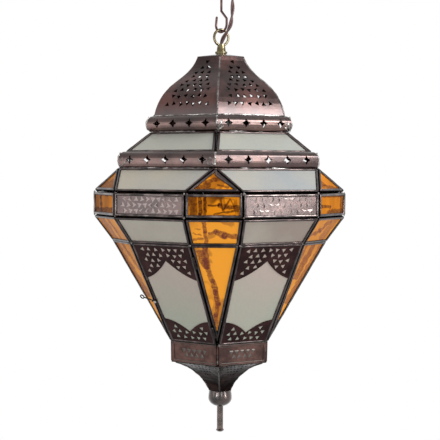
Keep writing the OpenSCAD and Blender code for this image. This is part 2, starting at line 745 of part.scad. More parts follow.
// A metal plate as thick as a pane's groove, dished behind and embossed with triangles at [x, y, turn]
module embossed_plate(shape, marks, mark_r) {
    plate = inset(shape, all_sides(shape, came_w - bite + fit_gap));
    face_z = glass_face_z;
    slab(plate, face_z - plate_t, plate_t);
    for (m = marks)
        translate([m[0], m[1], face_z - lay_gap]) raised_corner(mark_r, emboss_h + lay_gap, m[2]);
}

waist_mark_pitch = 9;
waist_mark_r = 4.5;
waist_rows = 3;
waist_marks = let (p = inset(waist_plate_shape, all_sides(waist_plate_shape, came_w)),
        w = p[1][0] - p[0][0], h = p[2][1] - p[1][1],
        count = floor((w - 2 * waist_mark_r) / waist_mark_pitch))
    [for (row = [0:waist_rows - 1]) for (i = [0:count - 1])
        [(i - (count - 1) / 2 + (row % 2 == 0 ? 0.2 : -0.2)) * waist_mark_pitch,
            p[0][1] + h * (row + 0.5) / waist_rows, scatter(i + 5 * row)]];

module waist_plates()
    color(metal)
        six("wide", waist_foot, waist_top)
            embossed_plate(waist_plate_shape, waist_marks, waist_mark_r);

collar_mark_pitch = 8.4;
collar_mark_r = 4;
collar_marks = let (p = inset(collar_shape, all_sides(collar_shape, came_w)),
        middle = (p[0][1] + p[2][1]) / 2)
    concat([for (i = [-2:2]) [i * collar_mark_pitch, middle + 3.4, -90]],
        [for (i = [-1.5:1.5]) [i * collar_mark_pitch, middle - 3.4, 90]]);

module collar_plates()
    color(metal)
        six("wide", collar_foot, collar_top)
            embossed_plate(collar_shape, collar_marks, collar_mark_r);

// ---- filigree over the tall cream panes ----

filigree_pitch = [10.6, 8.6];
filigree_sag = 4;
filigree_margin = 5.4;

// Height of a filigree's ogee edge at x, from y_side at its sides to y_mid at its middle
function ogee(x, half, y_side, y_mid, sag) =
    let (t = 1 - min(1, abs(x) / half))
    pow(1 - t, 2) * y_side + 2 * t * (1 - t) * ((y_side + y_mid) / 2 - 2 * sag) + t * t * y_mid;

// Pierced plate over the part of a came's opening that lies above (sign 1) or below (sign -1) the ogee
module filigree(shape, sign) {
    opening = inset(shape, all_sides(shape, came_w + fit_gap));
    foot_y = opening[0][1];
    top_y = opening[2][1];
    y_side = sign > 0 ? top_y - upper_filigree_side : foot_y + lower_filigree_side;
    y_mid = sign > 0 ? top_y - upper_filigree_mid : foot_y + lower_filigree_mid;
    side_share = (y_side - foot_y) / (top_y - foot_y);
    half = opening[1][0] + (opening[2][0] - opening[1][0]) * side_share;
    far_y = sign > 0 ? top_y + cut : foot_y - cut;
    reach = 2 * half;
    edge_line = [for (i = [-12:12])
        [half * i / 12, ogee(half * i / 12, half, y_side, y_mid, sign * filigree_sag)]];
    rows = floor(abs(y_side - far_y) / filigree_pitch[1]);
    face_z = glass_face_z + lay_gap;
    difference() {
        intersection() {
            slab(opening, face_z, plate_t);
            slab(concat([[-reach, y_side]], edge_line, [[reach, y_side], [reach, far_y], [-reach, far_y]]),
                face_z - cut, plate_t + 2 * cut);
        }
        for (row = [0:rows], i = [-4:4]) {
            x = (i + (row % 2 == 0 ? 0 : 0.5)) * filigree_pitch[0];
            y = far_y - sign * (cut + filigree_margin + row * filigree_pitch[1]);
            room = opening[1][0] + (opening[2][0] - opening[1][0]) * (y - foot_y) / (top_y - foot_y);
            inside = sign * (y - ogee(x, half, y_side, y_mid, sign * filigree_sag));
            if (abs(x) < room - filigree_margin && inside > filigree_margin)
                translate(concat([x, y] + stray(i + 7 * row), face_z))
                    three_corner(filigree_hole_r, 4 * plate_t, scatter(i + 7 * row));
        }
    }
}

module upper_filigree()
    color(dark_metal) six("wide", collar_top, belly_foot, 0, 4) filigree(tall_cream_shape, 1);
module lower_filigree()
    color(dark_metal) six("wide", collar_top, belly_foot, 0, 4) filigree(tall_cream_shape, -1);

// ---- door ----

module on_door() on_face("wide", collar_top, belly_foot, door_k) children();

module door_frame() color(metal) on_door() came(door_shape, door_rim);
module door_pane() color(cream) on_door() pane(door_shape);
module door_upper_filigree() color(dark_metal) on_door() filigree(door_shape, 1);
module door_lower_filigree() color(dark_metal) on_door() filigree(door_shape, -1);

// The hinge line lies outside the seam at the door's right edge, as far from each side's face
door_outline = outline("wide", collar_top, belly_foot);
seam_fold = acos(normal("wide", collar_top, belly_foot, 0) * normal("narrow", collar_top, belly_foot, 1));
hinge_lift = knuckle_r + lay_gap;
hinge_lean = atan2(door_outline[1][0] - door_outline[2][0], door_outline[2][1]);
hinge_length = norm(door_outline[2] - door_outline[1]);
hinge_places = [0.14, 0.84];
leaf_t = 0.6;

// Stands children on the hinge line: y along it, z outward, y = 0 at the door's bottom corner
module on_hinge() {
    on_door()
        translate([door_outline[1][0], 0, 0])
            rotate([0, 0, hinge_lean])
                translate([hinge_lift * tan(seam_fold / 2), 0, hinge_lift])
                    children();
}

// A knuckle of the hinge, its middle at y, with a leaf that lies on the came beside it
module knuckle(y, leaf_side, leaf_fold) {
    difference() {
        translate([0, y, 0])
            union() {
                rotate([90, 0, 0]) cylinder(r = knuckle_r, h = knuckle_l, center = true);
                rotate([0, leaf_fold, 0])
                    translate([leaf_side < 0 ? -came_w : 0, -knuckle_l / 2, -knuckle_r])
                        cube([came_w, knuckle_l, leaf_t]);
            }
        translate([0, y, 0])
            rotate([90, 0, 0]) cylinder(r = pin_r + run_gap, h = knuckle_l + 2 * cut, center = true);
    }
}

knuckle_step = knuckle_l + 0.3;

module door_knuckles()
    color(metal) on_hinge() for (place = hinge_places) knuckle(place * hinge_length, -1, 0);

module frame_knuckles()
    color(metal)
        on_hinge()
            for (place = hinge_places, side = [-1, 1])
                knuckle(place * hinge_length + side * knuckle_step, 1, seam_fold);

module hinge_pins()
    color("silver")
        on_hinge()
            for (place = hinge_places)
                translate([0, place * hinge_length, 0])
                    rotate([90, 0, 0])
                        cylinder(r = pin_r, h = 3 * knuckle_l + 2, center = true);

// The latch turns on a rivet in the door's left bar and rests on a catch beside the door
latch_share = latch_y / door_outline[2][1];
latch_x = -(door_outline[1][0] + (door_outline[2][0] - door_outline[1][0]) * latch_share)
    + tall_side + door_gap + came_w / 2;
latch_rise = 17;
latch_z = latch_wire_r + 0.3;
rivet_r = 0.9;
rivet_head_t = 0.8;

module on_latch() on_door() translate([latch_x, latch_y, 0]) children();

module latch_rivet() {
    color("silver")
        on_latch() {
            cylinder(r = rivet_r, h = latch_z + latch_wire_r + 0.2);
            translate([0, 0, latch_z + latch_wire_r + 0.2])
                cylinder(r = rivet_r + 0.9, h = rivet_head_t);
        }
}

module wire_eye(r) rotate_extrude() translate([r, 0]) circle(latch_wire_r, $fn = 24);

module latch_hook() {
    eye_r = rivet_r + run_gap + latch_wire_r;
    color(dark_metal)
        on_latch()
            translate([0, 0, latch_z])
                rotate([0, 0, 180 - latch_rise]) {
                    wire_eye(eye_r);
                    translate([eye_r, 0, 0])
                        rotate([0, 90, 0])
                            cylinder(r = latch_wire_r, h = latch_l - latch_ring_r - eye_r, $fn = 24);
                    translate([latch_l, 0, 0]) wire_eye(latch_ring_r);
                }
}

catch_r = 0.7;
catch_reach = 5.5;

module latch_catch() {
    out = came_w / 2 + tall_side + door_gap;
    x = -catch_reach * cos(latch_rise);
    y = catch_reach * sin(latch_rise) - (latch_wire_r + catch_r + 0.15) / cos(latch_rise);
    face_z = (out + x) * tan(seam_fold);
    color(dark_metal)
        on_latch()
            translate([x, y, face_z + 0.5])
                cylinder(r = catch_r, h = latch_z + latch_wire_r - face_z - 0.3, $fn = 24);
}

// ---- funnel and finial ----

funnel_top_z = collar_foot_z - lay_gap - sheet_t;
funnel_curve = [for (q = [[1, 0], [0.55, 0.08], [0.11, 0.6], [0, 1]])
    [(funnel_foot_r + q[0] * (collar_foot_r - 1 - funnel_foot_r)) * cos(30),
        funnel_top_z - q[1] * (funnel_top_z - funnel_foot_z)]];
funnel_hole_r = 2.4;
funnel_hole_pitch = 6.4;
funnel_rows = 5;
ball_waist_z = funnel_foot_z - ball_h * 0.5;
ball_mouth = 0.9;
nut_gap = 0.3;

module funnel_panels() {
    color(dark_metal)
        for (k = [0:5])
            rotate([0, 0, azimuth("wide", k) + 90])
                difference() {
                    sheet_side(sheet_section(funnel_curve, 14), collar_foot_r);
                    for (row = [0:funnel_rows - 1], i = [0:6 - row]) {
                        x = (i - (6 - row) / 2) * funnel_hole_pitch * (1 - 0.09 * row);
                        curve_hole(funnel_curve, 0.14 + 0.1 * row, x,
                            funnel_hole_r * (1 - 0.08 * row), scatter(i + 3 * row + k));
                    }
                }
}

module finial_ball() {
    top = funnel_foot_z - lay_gap;
    upper = (top - ball_waist_z) / sin(acos(ball_mouth));
    lower = ball_waist_z - ball_foot_z;
    first = acos(ball_mouth);
    color(metal)
        difference() {
            rotate_extrude()
                polygon(concat([[0, top]],
                    [for (i = [0:6])
                        let (a = first * (1 - i / 6)) [ball_r * cos(a), ball_waist_z + upper * sin(a)]],
                    [for (a = [10:10:80]) [ball_r * cos(a), ball_waist_z - lower * sin(a)]],
                    [[0, ball_foot_z]]));
            translate([0, 0, ball_foot_z - cut])
                cylinder(r = rod_r + run_gap, h = ball_h + 2 * cut);
        }
}

module finial_rod() {
    color(metal) {
        translate([0, 0, ball_foot_z - rod_drop])
            cylinder(r = rod_r, h = rod_drop + ball_h + rod_rise);
        translate([0, 0, ball_foot_z - rod_drop])
            rotate_extrude()
                polygon([[0, 0], [rod_r, 0], [tip_r, -0.3 * tip_h], [tip_r, -0.5 * tip_h],
                    [rod_r * 0.8, -0.85 * tip_h], [0, -tip_h]]);
    }
}

// A washer that rests in the funnel's narrow end, and the nut that draws the ball up to it
module finial_nut() {
    seat = bezier(funnel_curve, 0.93);
    color("silver") {
        translate([0, 0, seat[1]]) nut(seat[0] - sheet_t - nut_gap, 1.5, rod_r + run_gap, 48);
        translate([0, 0, seat[1] + 1.5 + lay_gap]) nut(7.5, 5, rod_r + run_gap, 6);
    }
}

// ---- lampholder and bulb ----

holder_wall = 1.5;
core_h = 12;
core_roof = 2;
shell_top_z = holder_top_z - holder_cap_h - lay_gap;
base_h = 25;
base_top_z = shell_top_z - core_roof - lay_gap;
globe_neck = 14;
globe_z = base_top_z - base_h - globe_r - globe_neck;

module lampholder_cap() {
    cap_foot_z = holder_top_z - holder_cap_h;
    cap_skirt = holder_cap_h * 0.4;
    color([0.12, 0.12, 0.12])
        difference() {
            rotate_extrude()
                polygon([[0, cap_foot_z], [holder_r, cap_foot_z], [holder_r, cap_foot_z + cap_skirt],
                    [nipple_r + 5, holder_top_z - 3], [nipple_r + 3.5, holder_top_z], [0, holder_top_z]]);
            translate([0, 0, cap_foot_z - cut])
                cylinder(r = holder_r - holder_wall, h = cap_skirt - 1 + cut);
            translate([0, 0, cap_foot_z])
                cylinder(r = nipple_r + thread_gap, h = holder_cap_h + cut);
        }
}

module lampholder_shell() {
    color([0.12, 0.12, 0.12])
        translate([0, 0, shell_top_z - holder_h])
            nut(holder_r, holder_h, holder_r - holder_wall, 48);
}

module lampholder_core() {
    color("white")
        difference() {
            translate([0, 0, shell_top_z - core_h])
                cylinder(r = holder_r - holder_wall - lay_gap, h = core_h);
            translate([0, 0, shell_top_z - core_h - cut])
                cylinder(r = base_r + fit_gap, h = core_h - core_roof + cut);
        }
}

module bulb_base() {
    color("silver") {
        translate([0, 0, base_top_z - base_h]) cylinder(r = base_r, h = base_h - 4);
        translate([0, 0, base_top_z - 4]) cylinder(r1 = base_r, r2 = 4.5, h = 4 - lay_gap);
    }
}

module bulb_globe() {
    neck_top_z = base_top_z - base_h - lay_gap;
    meet = asin(base_r * 1.15 / globe_r);
    color([0.95, 0.95, 0.9])
        rotate_extrude()
            polygon(concat([[0, neck_top_z], [base_r - 0.5, neck_top_z], [base_r, neck_top_z - 5]],
                [for (a = [90 - meet:-10:-80]) [globe_r * cos(a), globe_z + globe_r * sin(a)]],
                [[0, globe_z - globe_r]]));
}

// ---- the lantern ----

ceiling_rose();
ceiling_bar();
hook();
hook_nuts();
cord_bush();
cord();
suspension_loop();
nipple();
nipple_washer();
nipple_nut();
top_cap();
dome_panel(0);  // dome_panel_1
dome_panel(1);  // dome_panel_2
dome_panel(2);  // dome_panel_3
dome_panel(3);  // dome_panel_4
dome_panel(4);  // dome_panel_5
dome_panel(5);  // dome_panel_6
upper_band();
lower_band();
neck_frames();
neck_panes();
shoulder_cream_frames();
shoulder_amber_frames();
shoulder_cream_panes();
shoulder_amber_panes();
waist_plate_frames();
waist_amber_frames();
waist_plates();
waist_amber_panes();
belly_cream_frames();
belly_amber_frames();
belly_cream_panes();
belly_amber_panes();
tall_cream_frames();
tall_amber_frames();
tall_cream_panes();
tall_amber_panes();
upper_filigree();
lower_filigree();
door_frame();
door_pane();
door_upper_filigree();
door_lower_filigree();
door_knuckles();
frame_knuckles();
hinge_pins();
latch_rivet();
latch_hook();
latch_catch();
collar_frames();
collar_plates();
funnel_panels();
finial_ball();
finial_rod();
finial_nut();
lampholder_cap();
lampholder_shell();
lampholder_core();
bulb_base();
bulb_globe();
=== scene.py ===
"""Hanging glass lantern: the looks of every piece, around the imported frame."""

import math
import random

import bpy
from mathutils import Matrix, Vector, geometry


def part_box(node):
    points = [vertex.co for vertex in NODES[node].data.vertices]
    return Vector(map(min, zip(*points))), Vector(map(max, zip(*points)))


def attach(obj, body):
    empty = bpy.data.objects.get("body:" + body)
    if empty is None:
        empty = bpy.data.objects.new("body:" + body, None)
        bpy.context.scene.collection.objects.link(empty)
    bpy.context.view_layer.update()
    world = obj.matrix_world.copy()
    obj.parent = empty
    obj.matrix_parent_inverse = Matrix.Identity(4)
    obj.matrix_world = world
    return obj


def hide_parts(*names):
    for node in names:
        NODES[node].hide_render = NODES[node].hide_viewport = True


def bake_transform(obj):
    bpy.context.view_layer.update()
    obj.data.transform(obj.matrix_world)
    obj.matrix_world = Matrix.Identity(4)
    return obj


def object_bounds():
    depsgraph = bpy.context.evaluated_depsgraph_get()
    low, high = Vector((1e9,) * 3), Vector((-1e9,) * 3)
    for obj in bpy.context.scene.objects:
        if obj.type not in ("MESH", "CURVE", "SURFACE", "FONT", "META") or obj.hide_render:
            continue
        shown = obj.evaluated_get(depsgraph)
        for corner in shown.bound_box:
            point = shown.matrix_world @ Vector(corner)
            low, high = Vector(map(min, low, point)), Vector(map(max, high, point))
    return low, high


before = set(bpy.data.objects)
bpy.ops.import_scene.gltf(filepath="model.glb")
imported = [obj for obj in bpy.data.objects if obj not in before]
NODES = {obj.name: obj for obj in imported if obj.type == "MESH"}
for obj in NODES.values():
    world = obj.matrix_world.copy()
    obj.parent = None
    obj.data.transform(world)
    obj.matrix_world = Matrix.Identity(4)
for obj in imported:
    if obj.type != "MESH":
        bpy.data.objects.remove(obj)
cad_low, cad_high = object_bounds()
scene = bpy.context.scene


# ---- Camera ----
# Level with the lower rolled band and a little to the right of the front corner, with a long lens.


def turn_to(thing, place, spot):
    """Turns the camera or a lamp at this place to a spot."""
    thing.rotation_euler = (spot - Vector(place)).to_track_quat("-Z", "Y").to_euler()


waist_low, waist_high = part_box("waist_plate_frames")
waist_z = (waist_low.z + waist_high.z) / 2
aim_left = 0.0009
aim_below_waist = 0.025
aim = Vector((-aim_left, 0, waist_z - aim_below_waist))
eye_distance = 1.553
eye_turn = math.radians(2.8)
eye_rise = 0.0705
eye_roll = 0.0033

bpy.ops.object.camera_add()
camera = bpy.context.object
camera.name = "camera"
camera.location = aim + Vector((
    eye_distance * math.sin(eye_turn), -eye_distance * math.cos(eye_turn), eye_rise))
turn_to(camera, camera.location, aim)
camera.rotation_euler.rotate_axis("Z", eye_roll)
camera.data.sensor_width = 36
camera.data.lens = 90.7
camera.data.clip_end = 50
scene.camera = camera
scene.view_settings.view_transform = "Standard"


# ---- Room ----
# A white studio: a pale floor well below the hanging lantern, a tall soft box to the right with a
# smaller one above it, two weak ones beside the camera, one to the left, a wide one overhead, and two
# small lamps that light the finial's ball alone.


def add(tree, kind, second=None, **settings):
    """A shader node, with its properties and, for names of sockets, their values; second is the value
    of its second input, as in a sum."""
    made = tree.nodes.new("ShaderNode" + kind)
    for name, value in settings.items():
        if hasattr(made, name):
            setattr(made, name, value)
        else:
            made.inputs[name.replace("_", " ")].default_value = value
    if second is not None:
        made.inputs[1].default_value = second
    return made


def join(tree, *links):
    """Joins shader nodes. A link is (node, its output, next node, its input)."""
    for node, output, next_node, socket in links:
        tree.links.new(node.outputs[output], next_node.inputs[socket])


world = bpy.data.worlds.new("studio")
scene.world = world
world.use_nodes = True
tree = world.node_tree
tree.nodes.clear()
room_light = add(tree, "Background", Color=(0.96, 0.98, 1, 1), Strength=0.53)
room_seen = add(tree, "Background", Color=(1, 1, 1, 1))
path = add(tree, "LightPath")
seen = add(tree, "Math", operation="MAXIMUM")
seen_through = add(tree, "Math", operation="MAXIMUM")
chosen = add(tree, "MixShader")
out = add(tree, "OutputWorld")
join(tree, (path, "Is Camera Ray", seen, 0), (path, "Is Glossy Ray", seen, 1), (seen, 0, seen_through, 0),
     (path, "Is Transmission Ray", seen_through, 1), (seen_through, 0, chosen, 0),
     (room_light, 0, chosen, 1), (room_seen, 0, chosen, 2), (chosen, 0, out, 0))


def soft_box(name, place, width, height, power, spot=aim):
    """A rectangular lamp that faces the lantern, or another spot."""
    bpy.ops.object.light_add(type="AREA", location=place)
    lamp = bpy.context.object
    lamp.name = name
    turn_to(lamp, place, spot)
    lamp.data.shape = "RECTANGLE"
    lamp.data.size = width
    lamp.data.size_y = height
    lamp.data.energy = power
    return lamp


soft_box("right_soft_box", (1.1, -0.78, 0.05), 0.13, 1.0, 5.8)
soft_box("right_rim_box", (1.04, -0.47, 0.45), 0.3, 0.36, 6.5)
soft_box("front_right_box", (0.5, -1.44, -0.36), 0.14, 0.4, 1.6)
soft_box("front_left_box", (-0.4, -1.45, -0.36), 0.12, 0.4, 1.2)
soft_box("left_soft_box", (-1.25, -0.66, -0.3), 0.3, 0.7, 1.1)
soft_box("top_soft_box", (0.1, -0.5, 1.2), 1.4, 1.0, 6)
ball_low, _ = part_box("finial_ball")
below_by = 0.012
below_ball = Vector((0, 0, ball_low.z - below_by))
narrow_beam = math.radians(16)
for lamp in (soft_box("left_ball_spot", (-0.29, -0.53, -0.56), 0.14, 0.09, 0.014, below_ball),
             soft_box("right_ball_spot", (0.5, -0.31, -0.58), 0.14, 0.09, 0.009, below_ball)):
    lamp.data.spread = narrow_beam
    lamp.visible_camera = False

floor_drop = 0.5
floor_z = cad_low.z - floor_drop
floor_r = 3.0
bpy.ops.mesh.primitive_circle_add(vertices=96, radius=floor_r, fill_type="NGON", location=(0, 0, floor_z))
floor = bpy.context.object
floor.name = "floor"
floor_material = bpy.data.materials.new("white floor")
floor_material.use_nodes = True
tree = floor_material.node_tree
tree.nodes.clear()
floor_place = add(tree, "TexCoord")
floor_far = add(tree, "VectorMath", operation="LENGTH")
floor_fade = add(tree, "MapRange", interpolation_type="SMOOTHSTEP", From_Min=0.35, From_Max=1.1)
floor_matt = add(tree, "BsdfDiffuse", Color=(0.93, 0.93, 0.93, 1))
floor_white = add(tree, "Emission")
floor_mix = add(tree, "MixShader")
floor_out = add(tree, "OutputMaterial")
join(tree, (floor_place, "Object", floor_far, 0), (floor_far, "Value", floor_fade, "Value"),
     (floor_fade, 0, floor_mix, 0), (floor_matt, 0, floor_mix, 1), (floor_white, 0, floor_mix, 2),
     (floor_mix, 0, floor_out, 0))
floor.data.materials.append(floor_material)


# ---- Flex ----
# Two copper-brown insulated cores twisted loosely on each other. The flex leaves the brass loop's
# mouth, passes in front of the ring and the hook, and ends in the bush of the ceiling rose.


def begin(name):
    """A material with an empty Principled BSDF: (material, its tree, the shader node)."""
    made = bpy.data.materials.new(name)
    made.use_nodes = True
    return made, made.node_tree, made.node_tree.nodes["Principled BSDF"]


def new_group(name, inputs, outputs):
    """A node group: inputs and outputs are {socket name: (kind, default)} and {socket name: kind}."""
    made = bpy.data.node_groups.new(name, "ShaderNodeTree")
    for label, (kind, value) in inputs.items():
        socket = made.interface.new_socket(label, in_out="INPUT", socket_type="NodeSocket" + kind)
        socket.default_value = value
    for label, kind in outputs.items():
        made.interface.new_socket(label, in_out="OUTPUT", socket_type="NodeSocket" + kind)
    return made, made.nodes.new("NodeGroupInput"), made.nodes.new("NodeGroupOutput")


def place_group(tree, group, **values):
    """A group's node in a tree, with the values of its sockets."""
    made = tree.nodes.new("ShaderNodeGroup")
    made.node_tree = group
    for name, value in values.items():
        made.inputs[name.replace("_", " ")].default_value = value
    return made


def finish_mesh(name, body, material):
    """The object in hand becomes a named piece at the origin, on its body, with its finish."""
    bpy.ops.object.transform_apply(location=True, rotation=True, scale=True)
    piece = bpy.context.object
    piece.name = name
    piece.data.name = name
    piece.data.materials.clear()
    piece.data.materials.append(material)
    bpy.ops.object.shade_smooth()
    if body:
        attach(piece, body)
    return piece


mm = 0.001
cord_route = [Vector(p) * mm for p in (
    (0, 0, -112), (0, 0, -107), (0, 0, -102), (1.5, -2, -97), (4.8, -6, -91), (9, -9, -85),
    (12.4, -12, -79), (14.4, -13, -72), (15.4, -13, -64), (16, -12, -56), (16, -11, -47), (16, -10, -38),
    (16, -10, -30), (16, -10, -20))]
core_r = 1.5 * mm
core_apart = 1.35 * mm
twist_pitch = 46 * mm
twist_start = 0.6
steps_per_stretch = 6


def smooth_route(points, steps):
    """Catmull-Rom curve through the points."""
    made = []
    for i in range(len(points) - 1):
        a, b = points[max(i - 1, 0)], points[i]
        c, d = points[i + 1], points[min(i + 2, len(points) - 1)]
        for k in range(steps):
            t = k / steps
            made.append(0.5 * (2 * b + (c - a) * t + (2 * a - 5 * b + 4 * c - d) * t ** 2
                               + (3 * b - a - 3 * c + d) * t ** 3))
    made.append(points[-1])
    return made


cord_line = smooth_route(cord_route, steps_per_stretch)


def core_line(phase):
    """One core's centre line, wound on the flex's own line."""
    made, run = [], 0.0
    for i, p in enumerate(cord_line):
        along = (cord_line[min(i + 1, len(cord_line) - 1)] - cord_line[max(i - 1, 0)]).normalized()
        side = Vector((0, 1, 0)).cross(along).normalized()
        front = along.cross(side)
        if i:
            run += (p - cord_line[i - 1]).length
        turn = phase + twist_start + math.tau * run / twist_pitch
        made.append(p + core_apart * (math.cos(turn) * side + math.sin(turn) * front))
    return made


def round_wires(lines, radius, closed=False, uneven=0.0):
    """Each line of points as a round wire, all made one mesh, with closed ends or as closed rings."""
    data = bpy.data.curves.new("wire", "CURVE")
    data.dimensions = "3D"
    data.bevel_depth = radius
    data.bevel_resolution = 4
    data.use_fill_caps = True
    for points in lines:
        line = data.splines.new("POLY")
        line.points.add(len(points) - 1)
        line.use_cyclic_u = closed
        for spot, p in zip(line.points, points):
            spot.co = (*p, 1)
            spot.radius = 1 + uneven * random.uniform(-1, 1)
    made = bpy.data.objects.new("wire", data)
    scene.collection.objects.link(made)
    bpy.ops.object.select_all(action="DESELECT")
    made.select_set(True)
    bpy.context.view_layer.objects.active = made
    bpy.ops.object.convert(target="MESH")
    return bpy.context.object


flex_finish, tree, shader = begin("copper brown flex")
grain = add(tree, "TexNoise", Scale=300.0, Detail=3.0)
spot_place = add(tree, "TexCoord")
tint = add(tree, "Mix", data_type="RGBA", A=(0.075, 0.034, 0.032, 1), B=(0.16, 0.08, 0.074, 1))
join(tree, (spot_place, "Object", grain, "Vector"), (grain, "Fac", tint, "Factor"),
     (tint, "Result", shader, "Base Color"))
shader.inputs["Roughness"].default_value = 0.35
shader.inputs["Coat Weight"].default_value = 0.2

round_wires([core_line(phase) for phase in (0, math.pi)], core_r)
flex = finish_mesh("flex", None, flex_finish)
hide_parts("cord")
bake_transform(flex)


# ---- Ceiling rose, its bar, nuts and bush ----
# A spun sheet rose covers the ceiling bar, which is screwed up; the hook's thread passes through both
# and its round nut holds the rose up. A moulded bush keeps the flex off the rose's edge.


def dress(material, *names):
    """Gives CAD nodes their finish."""
    for name in names:
        for holder in NODES[name].material_slots:
            holder.material = material


def ease_edges(width, *names, angle=38):
    """Rounds the sharp edges of CAD nodes, as filing and soldering leave them."""
    for name in names:
        weld = NODES[name].modifiers.new("weld", "WELD")
        weld.merge_threshold = 0.01 * mm
        round_off = NODES[name].modifiers.new("eased edges", "BEVEL")
        round_off.width = width
        round_off.segments = 2
        round_off.limit_method = "ANGLE"
        round_off.angle_limit = math.radians(angle)
        round_off.harden_normals = True


aged_metal, inlet, outlet = new_group(
    "aged metal",
    {"Dark": ("Color", (0.05, 0.03, 0.028, 1)), "Warm": ("Color", (0.13, 0.06, 0.05, 1)),
     "Warmth": ("Float", 0.0), "Patch Scale": ("Float", 22.0), "Grain Scale": ("Float", 240.0),
     "Rough": ("Float", 0.35)},
    {"Color": "Color", "Roughness": "Float", "Height": "Float"})
place = add(aged_metal, "TexCoord")
patches = add(aged_metal, "TexNoise", Detail=4.0, Roughness=0.62)
grain = add(aged_metal, "TexNoise", Detail=3.0, Roughness=0.6)
warmed = add(aged_metal, "Math", operation="ADD")
patch_mask = add(aged_metal, "MapRange", interpolation_type="SMOOTHSTEP", From_Min=0.36, From_Max=0.68)
tint = add(aged_metal, "Mix", data_type="RGBA")
grain_shade = add(aged_metal, "MapRange", From_Min=0.3, From_Max=0.7, To_Min=0.95, To_Max=1.05)
shaded = add(aged_metal, "Mix", data_type="RGBA", blend_type="MULTIPLY", Factor=1.0)
grain_rough = add(aged_metal, "MapRange", From_Min=0.3, From_Max=0.7, To_Min=-0.03, To_Max=0.04)
roughness = add(aged_metal, "Math", operation="ADD")
swells = add(aged_metal, "TexNoise", Detail=1.0)
dents = add(aged_metal, "Math", operation="MULTIPLY_ADD", second=0.012)
join(aged_metal, (place, "Object", patches, "Vector"), (place, "Object", swells, "Vector"),
     (place, "Object", grain, "Vector"), (inlet, "Patch Scale", patches, "Scale"),
     (inlet, "Patch Scale", swells, "Scale"), (inlet, "Grain Scale", grain, "Scale"),
     (patches, "Fac", warmed, 0), (inlet, "Warmth", warmed, 1), (warmed, 0, patch_mask, "Value"),
     (patch_mask, 0, tint, "Factor"), (inlet, "Dark", tint, "A"), (inlet, "Warm", tint, "B"),
     (grain, "Fac", grain_shade, "Value"), (tint, "Result", shaded, "A"), (grain_shade, 0, shaded, "B"),
     (grain, "Fac", grain_rough, "Value"), (inlet, "Rough", roughness, 0), (grain_rough, 0, roughness, 1),
     (grain, "Fac", dents, 0), (swells, "Fac", dents, 2), (shaded, "Result", outlet, "Color"),
     (roughness, 0, outlet, "Roughness"), (dents, 0, outlet, "Height"))


def metal_finish(name, metallic, coat, dent, **look):
    """A material of aged metal: (material, its tree, its shader, the aged metal node)."""
    finish, tree, shader = begin(name)
    aged = place_group(tree, aged_metal, **look)
    bump = add(tree, "Bump", Strength=1.0, Distance=dent)
    join(tree, (aged, "Color", shader, "Base Color"), (aged, "Roughness", shader, "Roughness"),
         (aged, "Height", bump, "Height"), (bump, "Normal", shader, "Normal"))
    shader.inputs["Metallic"].default_value = metallic
    shader.inputs["Coat Weight"].default_value = coat
    shader.inputs["Coat Roughness"].default_value = look.get("Rough", 0.35)
    return finish, tree, shader, aged


rose_finish, *_ = metal_finish(
    "rose copper patina", metallic=0.8, coat=0.2, dent=0.5 * mm,
    Dark=(0.06, 0.035, 0.032, 1), Warm=(0.12, 0.06, 0.052, 1))
dress(rose_finish, "ceiling_rose")
ease_edges(0.4 * mm, "ceiling_rose")

steel_finish, *_ = metal_finish(
    "zinc plated steel", metallic=1.0, coat=0.0, dent=0.1 * mm,
    Dark=(0.34, 0.34, 0.33, 1), Warm=(0.55, 0.54, 0.5, 1),
    Patch_Scale=70.0, Grain_Scale=700.0, Rough=0.34)
dress(steel_finish, "ceiling_bar", "hook_nuts", "nipple", "nipple_washer", "nipple_nut", "finial_nut")
ease_edges(0.3 * mm, "ceiling_bar", "hook_nuts", "nipple_nut", "finial_nut")

bush_finish, tree, shader = begin("moulded bush")
place = add(tree, "TexCoord")
grain = add(tree, "TexNoise", Scale=900.0, Detail=2.0)
tone = add(tree, "MapRange", To_Min=0.018, To_Max=0.035)
skin = add(tree, "Bump", Strength=0.4, Distance=0.1 * mm)
join(tree, (place, "Object", grain, "Vector"), (grain, "Fac", tone, "Value"),
     (tone, 0, shader, "Base Color"), (grain, "Fac", skin, "Height"), (skin, "Normal", shader, "Normal"))
shader.inputs["Roughness"].default_value = 0.6
dress(bush_finish, "cord_bush")


# ---- Hook ----
# What the lantern hangs from: bright copper-brown wire, bent to a bowl below a short crook, with a
# thread cut on its upper end for the nuts at the ceiling.

wire_finish, *_ = metal_finish(
    "copper brown wire", metallic=0.55, coat=0.25, dent=0.15 * mm,
    Dark=(0.085, 0.036, 0.034, 1), Warm=(0.2, 0.1, 0.092, 1),
    Patch_Scale=90.0, Grain_Scale=600.0, Rough=0.34)
dress(wire_finish, "hook")


# ---- Suspension loop ----
# Cast antique brass: a ring above a tapered neck and a small flange, screwed on the lantern's nipple.
# The casting is bright where it's handled and has gone olive brown between.

brass_finish, *_ = metal_finish(
    "antique brass", metallic=1.0, coat=0.0, dent=0.15 * mm,
    Dark=(0.1, 0.08, 0.038, 1), Warm=(0.36, 0.31, 0.2, 1),
    Patch_Scale=55.0, Grain_Scale=700.0, Rough=0.17)
dress(brass_finish, "suspension_loop")


# ---- Cap and dome ----
# Six panels of sheet copper, bent, pierced by hand, joined at their corners with solder that was
# drawn down each edge, and browned all over. The colour is darkest at the top and redder below, and
# just above the rim it is mixed toward light grey, a painted sheen.

dome_low, dome_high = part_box("dome_panel_1")
rim_sheen_height = 18 * mm

